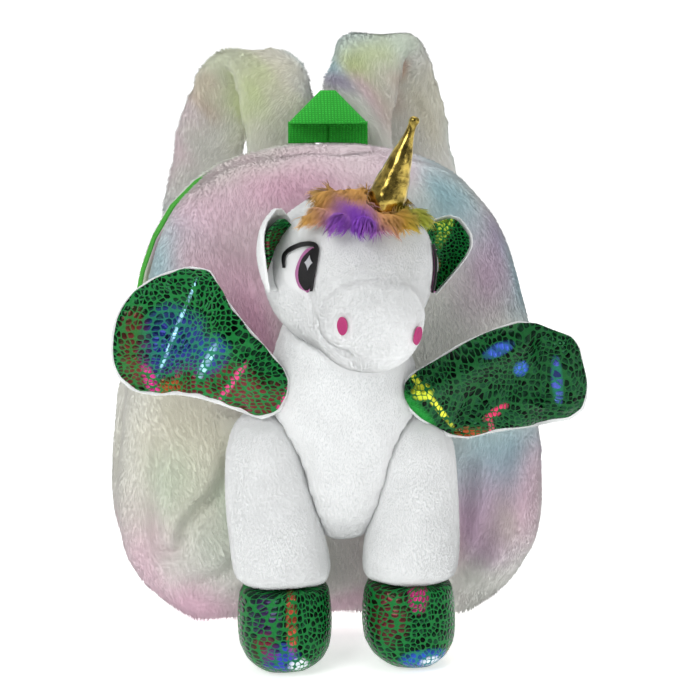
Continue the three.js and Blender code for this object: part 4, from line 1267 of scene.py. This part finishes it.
def taper(lining):
    """Narrows an ear's lining to its foot, along its outer edge, and lowers its top a little."""
    points = points_of(lining)
    low, high = points.min(0), points.max(0)
    pin = points[np.argmin(points[:, 0])]
    rise = (points[:, 2] - low[2]) / (high[2] - low[2])
    share = 0.3 + 0.7 * soft_step(rise / 0.62)
    points[:, :2] = pin[:2] + (points[:, :2] - pin[:2]) * share[:, None]
    points[:, 2] += (1 - rise) ** 3 * 0.005 - rise**3 * 0.0035
    put_points(lining, points)


class BACKPACK_OT_ears(bpy.types.Operator):
    """Build the ears: white plush backs and scale-cloth linings"""

    bl_idname = "backpack.ears"
    bl_label = "Ears"

    def execute(self, context):
        colours = context.scene.backpack_colours
        for side, seed in (("left", 51), ("right", 52)):
            thin_plush(f"ear_back_{side}", seed, 5000, 0.2)
            lining = copy_node(f"ear_lining_{side}", f"ear_lining_{side}_cloth")
            soften_sheet(lining, 2, 5)
            if side == "left":
                taper(lining)
            cloth = scale_cloth(f"ear_cloth_{side}", colours, EAR_SHEEN[side], 2.2, turn=EAR_TURN[side])
            settle(lining, cloth, [f"ear_lining_{side}"])
        return {"FINISHED"}


# Painted sheens of the wings' scale cloth: holographic reflections painted into the foil's colour; the
# narrow pale-blue and yellow rows are painted glints.
WING_SHEEN = {
    "left": table(
        "x z across up turn tone much least channel net",
        (-58, 154, 36, 14, -20, "6e1a22", 0.85),
        (-114, 178, 8, 20, 0, "6e2420", 0.8, 0.2, "Green", "2c6a2a"),
        (-98, 152, 14, 6, 60, "b8501e", 0.7),
        (-94, 184, 15, 18, -20, "1a2a80", 0.85, 0.2, "Green", "16706a"),
        (-74, 176, 8, 12, -30, "1c4090", 0.8, 0.2, "Green", "167a62"),
        (-92, 190, 1.0, 24, -22, "a8e4ff", 1.0, 0.2, "Blue"),
        (-76, 172, 1.8, 11, -25, "b4f0ff", 1.0, 0.2, "Blue"),
        (-106, 160, 3.0, 9, 20, "d0288a", 1.0, 0.6),
        (-62, 162, 1.6, 14, -32, "e04888", 0.9, 0.6),
        (-77, 146, 7, 4, 0, "7040b0", 0.9),
        (-38, 144, 1.8, 16, -22, "e03a88", 1.0, 0.6),
    ),
    "right": table(
        "x z across up turn tone much least channel net",
        (84, 178, 8, 3, 20, "4a70e8", 0.9, 0.2, "Green", "2a5a9a"),
        (98, 166, 4, 4, 0, "3f6fe0", 0.9, 0.2, "Green", "2a6a8a"),
        (120, 158, 2.5, 12, 6, "5468d0", 0.7, 0.2, "Green", "1a7a6a"),
        (68, 128, 12, 5, 10, "b04a1e", 0.8),
        (84, 142, 7, 2.4, 30, "e03468", 1.0, 0.6),
        (82, 132, 1.6, 9, 15, "e05070", 0.9, 0.6),
        (46, 152, 1.6, 22, 38, "e8f040", 1.0, 0.2),
        (41, 156, 5, 4, 0, "d8e838", 0.9, 0.0),
        (39, 142, 15, 5, -52, "128a2c", 1.0, 1.0, "Green", "149030"),
    ),
}
# Painted shade: the right wing's net is painted darker than the left wing's, as the same cloth in less
# light.
WING_NET = {"left": 1.1, "right": 0.6}
# How far the scale cloth is drawn over the edge of the wing's back on each side, in metres
WING_OVER = {"low": np.array([0.0014, 0, 0.0004]), "high": np.array([0.0014, 0, 0.0018])}
WING_FOLDS = {
    "left": table(
        "path width depth",
        ([(-60, 178), (-69, 160)], 3, 2.6),
        ([(-46, 160), (-74, 196), (-84, 214)], 6, -3.5),
        ([(-84, 168), (-112, 160)], 5, 2.6),
        ([(-96, 200), (-108, 178)], 4, 1.9),
        ([(-56, 148), (-62, 158)], 3, 1.2),
    ),
    "right": table(
        "path width depth",
        ([(40, 156), (70, 170), (98, 180)], 6, -3.5),
        ([(113, 174), (116, 142)], 4, 3.2),
        ([(64, 132), (76, 158)], 5, 2.9),
        ([(88, 136), (92, 160)], 4, 1.9),
        ([(124, 178), (126, 142)], 4, -1.9),
    ),
}


class BACKPACK_OT_wings(bpy.types.Operator):
    """Build the wings: scale-cloth faces on white plush backs"""

    bl_idname = "backpack.wings"
    bl_label = "Wings"

    def execute(self, context):
        colours = context.scene.backpack_colours
        for side, seed in (("left", 61), ("right", 62)):
            face = copy_node(f"wing_front_{side}", f"wing_front_{side}_cloth")
            soften_sheet(face, 3, 6)
            points = points_of(face)
            refit(face, (points.min(0) - WING_OVER["low"], points.max(0) + WING_OVER["high"]))
            puff(face, 0.0012, pressure=2.0)
            press(face, WING_FOLDS[side])
            points = points_of(face)
            shift_out(face, ripple(points, 0.006, seed) * 0.0004)
            cloth = scale_cloth(f"wing_cloth_{side}", colours, WING_SHEEN[side], 3.1, 1.1, WING_NET[side])
            settle(face, cloth, [f"wing_front_{side}"])
            thin_plush(f"wing_back_{side}", seed + 2, 9000, 0.3)
        return {"FINISHED"}


# Painted sheens of the hooves' scale cloth: holographic reflections painted into the foil's colour; the
# near-white rows are painted glints.
HOOF_SHEEN = {
    "left": table(
        "x z across up turn tone much least channel net",
        (-32, 30, 2.6, 18, 0, "c8583c", 0.9, 0.2),
        (-46, 34, 7, 12, 0, "40285c", 0.7),
        (-38, 12, 9, 8, 0, "3040b8", 0.9, 0.2, "Green", "14685c"),
        (-28, 8, 5, 4, 0, "f0f8ff", 1.0, 0.8),
        (-46, 18, 6, 8, 0, "7c1a30", 0.7),
    ),
    "right": table(
        "x z across up turn tone much least channel net",
        (38, 44, 5, 8, 0, "e03c90", 0.9, 0.5),
        (22, 34, 9, 14, 0, "701c2c", 0.7),
        (42, 8, 12, 6, 0, "2858c8", 0.9, 0.2, "Green", "1c7c8c"),
        (45, 7, 5, 3, 0, "f0f8ff", 1.0, 0.7),
        (60, 8, 5, 5, 0, "e0a028", 0.9),
    ),
}
HOOF_POST = {"left": {"x": -28, "y": -105, "radius": 26}, "right": {"x": 41, "y": -105, "radius": 26}}


class BACKPACK_OT_hooves(bpy.types.Operator):
    """Build the stuffed scale-cloth hooves"""

    bl_idname = "backpack.hooves"
    bl_label = "Hooves"

    def execute(self, context):
        colours = context.scene.backpack_colours
        for side, seed in (("left", 71), ("right", 72)):
            hoof = copy_node(f"hoof_{side}", f"hoof_{side}_cloth")
            remesh(hoof, CELLS["hoof"])
            even_out(hoof, 2)
            puff(hoof, 0.0025, lambda points: soft_step((points[:, 2] - 0.002) / 0.01))
            even_out(hoof, 2)
            finish_with(hoof, "SUBSURF", levels=1, render_levels=1)
            points = points_of(hoof)
            shift_out(hoof, -0.0004 + ripple(points, 0.01, seed) * 0.0005)
            points = points_of(hoof)
            points[:, 2] = np.maximum(points[:, 2], 0.0002)
            put_points(hoof, points)
            cloth = scale_cloth(
                f"hoof_cloth_{side}", colours, HOOF_SHEEN[side], 4.8, 1.6, 1.1, 0.009, post=HOOF_POST[side]
            )
            settle(hoof, cloth, [f"hoof_{side}"])
        return {"FINISHED"}


MANE_DYE = table(
    "x z across up dye much",
    (10, 250, 80, 60, "orange", 1.0),
    (-1, 251, 10, 9, "purple", 1.0),
    (8, 243, 14, 6, "purple", 1.0),
    (18, 252, 8, 6, "orange", 0.9),
    (34, 252, 11, 16, "lime", 1.0),
)


class BACKPACK_OT_mane(bpy.types.Operator):
    """Build the tuft of mane between the ears"""

    bl_idname = "backpack.mane"
    bl_label = "Mane"

    def execute(self, context):
        sizes, colours = context.scene.backpack_sizes, context.scene.backpack_colours
        obj = copy_node("mane", "mane_tuft")
        remesh(obj, CELLS["mane"])
        even_out(obj, 3)
        shift_out(obj, -0.0015)
        points = points_of(obj)
        middle = (points[:, 0].min() + points[:, 0].max()) / 2
        points[:, 0] = middle + (points[:, 0] - middle) * 0.9
        put_points(obj, points)

        def fall(places, normals):
            sideways = (places[:, 0] - 0.012) / 0.03
            return np.stack([sideways, np.full(len(places), -0.8), np.full(len(places), -0.5)], 1)

        rule = {
            "amount": 12000,
            "long": sizes.mane_pile,
            "thick": 0.00034,
            "lean": 3.0,
            "comb": fall,
            "swirl": 0.2,
            "swirl_size": 0.012,
            "jitter": 0.14,
            "clump": 0.25,
            "clump_size": 22,
            "joints": 3,
            "arch": 0.18,
            "droop": 0.12,
            "vary": 0.35,
        }
        grow_pile(obj, rule, lambda p, n: (n[:, 2] > -0.35) * 1.0, dye_and_shade_painter(colours, MANE_DYE, 81), 81)
        # Painted shade: the mane's roots are painted darker, 0.9 of their dye, as shade deep in the hair.
        material = plush("mane_plush", colours.purple, 0.9, dyed=True, sheen=0.1)
        settle(obj, material, ["mane"])
        return {"FINISHED"}


class BACKPACK_OT_horn(bpy.types.Operator):
    """Build the gold foil horn with its knob"""

    bl_idname = "backpack.horn"
    bl_label = "Horn"

    def execute(self, context):
        colours = context.scene.backpack_colours
        horn = copy_node("horn", "horn_foil")
        remesh(horn, CELLS["horn"])
        even_out(horn, 3)
        points = points_of(horn)
        shift_out(horn, ripple(points * np.array([1, 1, 1.6]), 0.0035, 91) * 0.00022)
        material, tree, shader = finish_of("gold_foil", Metallic=1.0, Roughness=0.2)
        # Painted reflections: the gold is mottled darker and brighter as the crumpled foil's light and dark
        # reflections, and the same noise bumps its wrinkles.
        crumple_and_reflection = noise(tree, object_place(tree), 150.0, 3.0, 0.6).outputs["Fac"]
        dark = tuple(c * 0.4 for c in colours.gold)
        bright = tuple(min(1, c * 1.4) for c in colours.gold)
        feed(tree, shader, Base_Color=blend_of(tree, value_range(tree, crumple_and_reflection, 0.4, 0.6), dark, bright))
        feed(tree, shader, Normal=bump_of(tree, crumple_and_reflection, 0.0008, 0.35))
        settle(horn, material, ["horn"])
        return {"FINISHED"}


# The floor is a sheet of pale paper that rises in a bend behind the object
FLOOR = {"size": 6, "rise": 4, "bend": 1.2, "glow": 0.62}
# Where the camera aims, in mm, how far it is turned and raised about that, in degrees, and how far away
CAMERA = {"target": (9.3, -30, 168), "turn": -6, "rise": 9, "away": 1.0, "lens": 87.84, "sensor": 36}
LAMPS = table(
    "name at size power",
    ("key", (-1.1, -1.4, 1.3), 1.0, 17),
    ("fill", (1.3, -1.3, 0.8), 1.0, 5),
    ("top", (0.1, 0.1, 1.8), 1.4, 13),
)
SKY_STRENGTH = 0.6


def lay_floor():
    deselect()
    bpy.ops.mesh.primitive_plane_add(size=FLOOR["size"], location=(0, 0, 0))
    floor = bpy.context.object
    floor.name = "floor"
    edit(
        floor,
        lambda: bpy.ops.mesh.select_all(action="DESELECT"),
        lambda: bpy.ops.mesh.select_mode(type="EDGE"),
    )
    far = FLOOR["size"] / 2 - 0.1
    for e in floor.data.edges:
        e.select = all(floor.data.vertices[i].co.y > far for i in e.vertices)
    only(floor)
    bpy.ops.object.mode_set(mode="EDIT")
    bpy.ops.mesh.extrude_region_move(TRANSFORM_OT_translate={"value": (0, 0, FLOOR["rise"])})
    bpy.ops.object.mode_set(mode="OBJECT")
    finish_with(floor, "BEVEL", width=FLOOR["bend"], segments=12, limit_method="ANGLE")
    bpy.ops.object.shade_smooth()
    material, tree, shader = finish_of("floor_paper", Roughness=0.9, Specular_IOR_Level=0.1)
    speck = noise(tree, object_place(tree), 3.0).outputs["Fac"]
    feed(tree, shader, Base_Color=blend_of(tree, speck, (0.93, 0.93, 0.93), (0.95, 0.95, 0.95)))
    shader.inputs["Emission Color"].default_value = (1, 1, 1, 1)
    shader.inputs["Emission Strength"].default_value = FLOOR["glow"]
    floor.data.materials.append(material)


def light_sky(scene):
    """A pale sky that is dimmer on the camera's side, which gives the cloths some shade."""
    world = scene.world or bpy.data.worlds.new("studio")
    scene.world = world
    world.use_nodes = True
    tree = world.node_tree
    way = node(tree, "TexCoord").outputs["Generated"]
    behind = node(tree, "SeparateXYZ", {"Vector": way}).outputs["Y"]
    background = tree.nodes["Background"]
    feed(tree, background, Color=grey_of(tree, value_range(tree, behind, -0.5, 0.3, 0.3, 1.0)))
    background.inputs["Strength"].default_value = SKY_STRENGTH


def hang_lamps(target):
    for lamp in LAMPS:
        deselect()
        bpy.ops.object.light_add(type="AREA", location=lamp["at"])
        light = bpy.context.object
        light.name = lamp["name"] + "_light"
        light.data.energy = lamp["power"]
        light.data.size = lamp["size"]
        light.rotation_euler = (target - light.location).to_track_quat("-Z", "Y").to_euler()


def stand_camera(scene, target):
    turn, rise = math.radians(CAMERA["turn"]), math.radians(CAMERA["rise"])
    back = Vector((math.sin(turn) * math.cos(rise), -math.cos(turn) * math.cos(rise), math.sin(rise)))
    deselect()
    bpy.ops.object.camera_add(location=target + back * CAMERA["away"])
    camera = bpy.context.object
    camera.rotation_euler = (-back).to_track_quat("-Z", "Y").to_euler()
    camera.data.lens = CAMERA["lens"]
    camera.data.sensor_width = CAMERA["sensor"]
    camera.data.dof.use_dof = False
    scene.camera = camera


class BACKPACK_OT_stage(bpy.types.Operator):
    """Set up the pale floor, the soft studio light and the camera"""

    bl_idname = "backpack.stage"
    bl_label = "Stage"

    def execute(self, context):
        target = Vector(CAMERA["target"]) * MM
        lay_floor()
        light_sky(context.scene)
        hang_lamps(target)
        stand_camera(context.scene, target)
        context.scene.view_settings.view_transform = "Standard"
        return {"FINISHED"}


OPERATORS = [
    BACKPACK_OT_bag,
    BACKPACK_OT_straps,
    BACKPACK_OT_webbing,
    BACKPACK_OT_zip,
    BACKPACK_OT_body,
    BACKPACK_OT_head,
    BACKPACK_OT_ears,
    BACKPACK_OT_wings,
    BACKPACK_OT_hooves,
    BACKPACK_OT_mane,
    BACKPACK_OT_horn,
    BACKPACK_OT_stage,
]


class BACKPACK_PT_build(bpy.types.Panel):
    """Lists the backpack's pieces"""

    bl_idname = "BACKPACK_PT_build"
    bl_label = "Backpack"
    bl_space_type = "VIEW_3D"
    bl_region_type = "UI"
    bl_category = "Backpack"

    def draw(self, context):
        for operator in OPERATORS:
            self.layout.operator(operator.bl_idname)
        for group in (context.scene.backpack_sizes, context.scene.backpack_colours):
            for name in group.__annotations__:
                self.layout.prop(group, name)


CLASSES = [BackpackSizes, BackpackColours, *OPERATORS, BACKPACK_PT_build]


def register():
    for cls in CLASSES:
        bpy.utils.register_class(cls)
    bpy.types.Scene.backpack_sizes = PointerProperty(type=BackpackSizes)
    bpy.types.Scene.backpack_colours = PointerProperty(type=BackpackColours)


def unregister():
    del bpy.types.Scene.backpack_sizes
    del bpy.types.Scene.backpack_colours
    for cls in reversed(CLASSES):
        bpy.utils.unregister_class(cls)


def main():
    register()
    for operator in OPERATORS:
        group, name = operator.bl_idname.split(".")
        getattr(getattr(bpy.ops, group), name)()


if __name__ == "__main__":
    main()
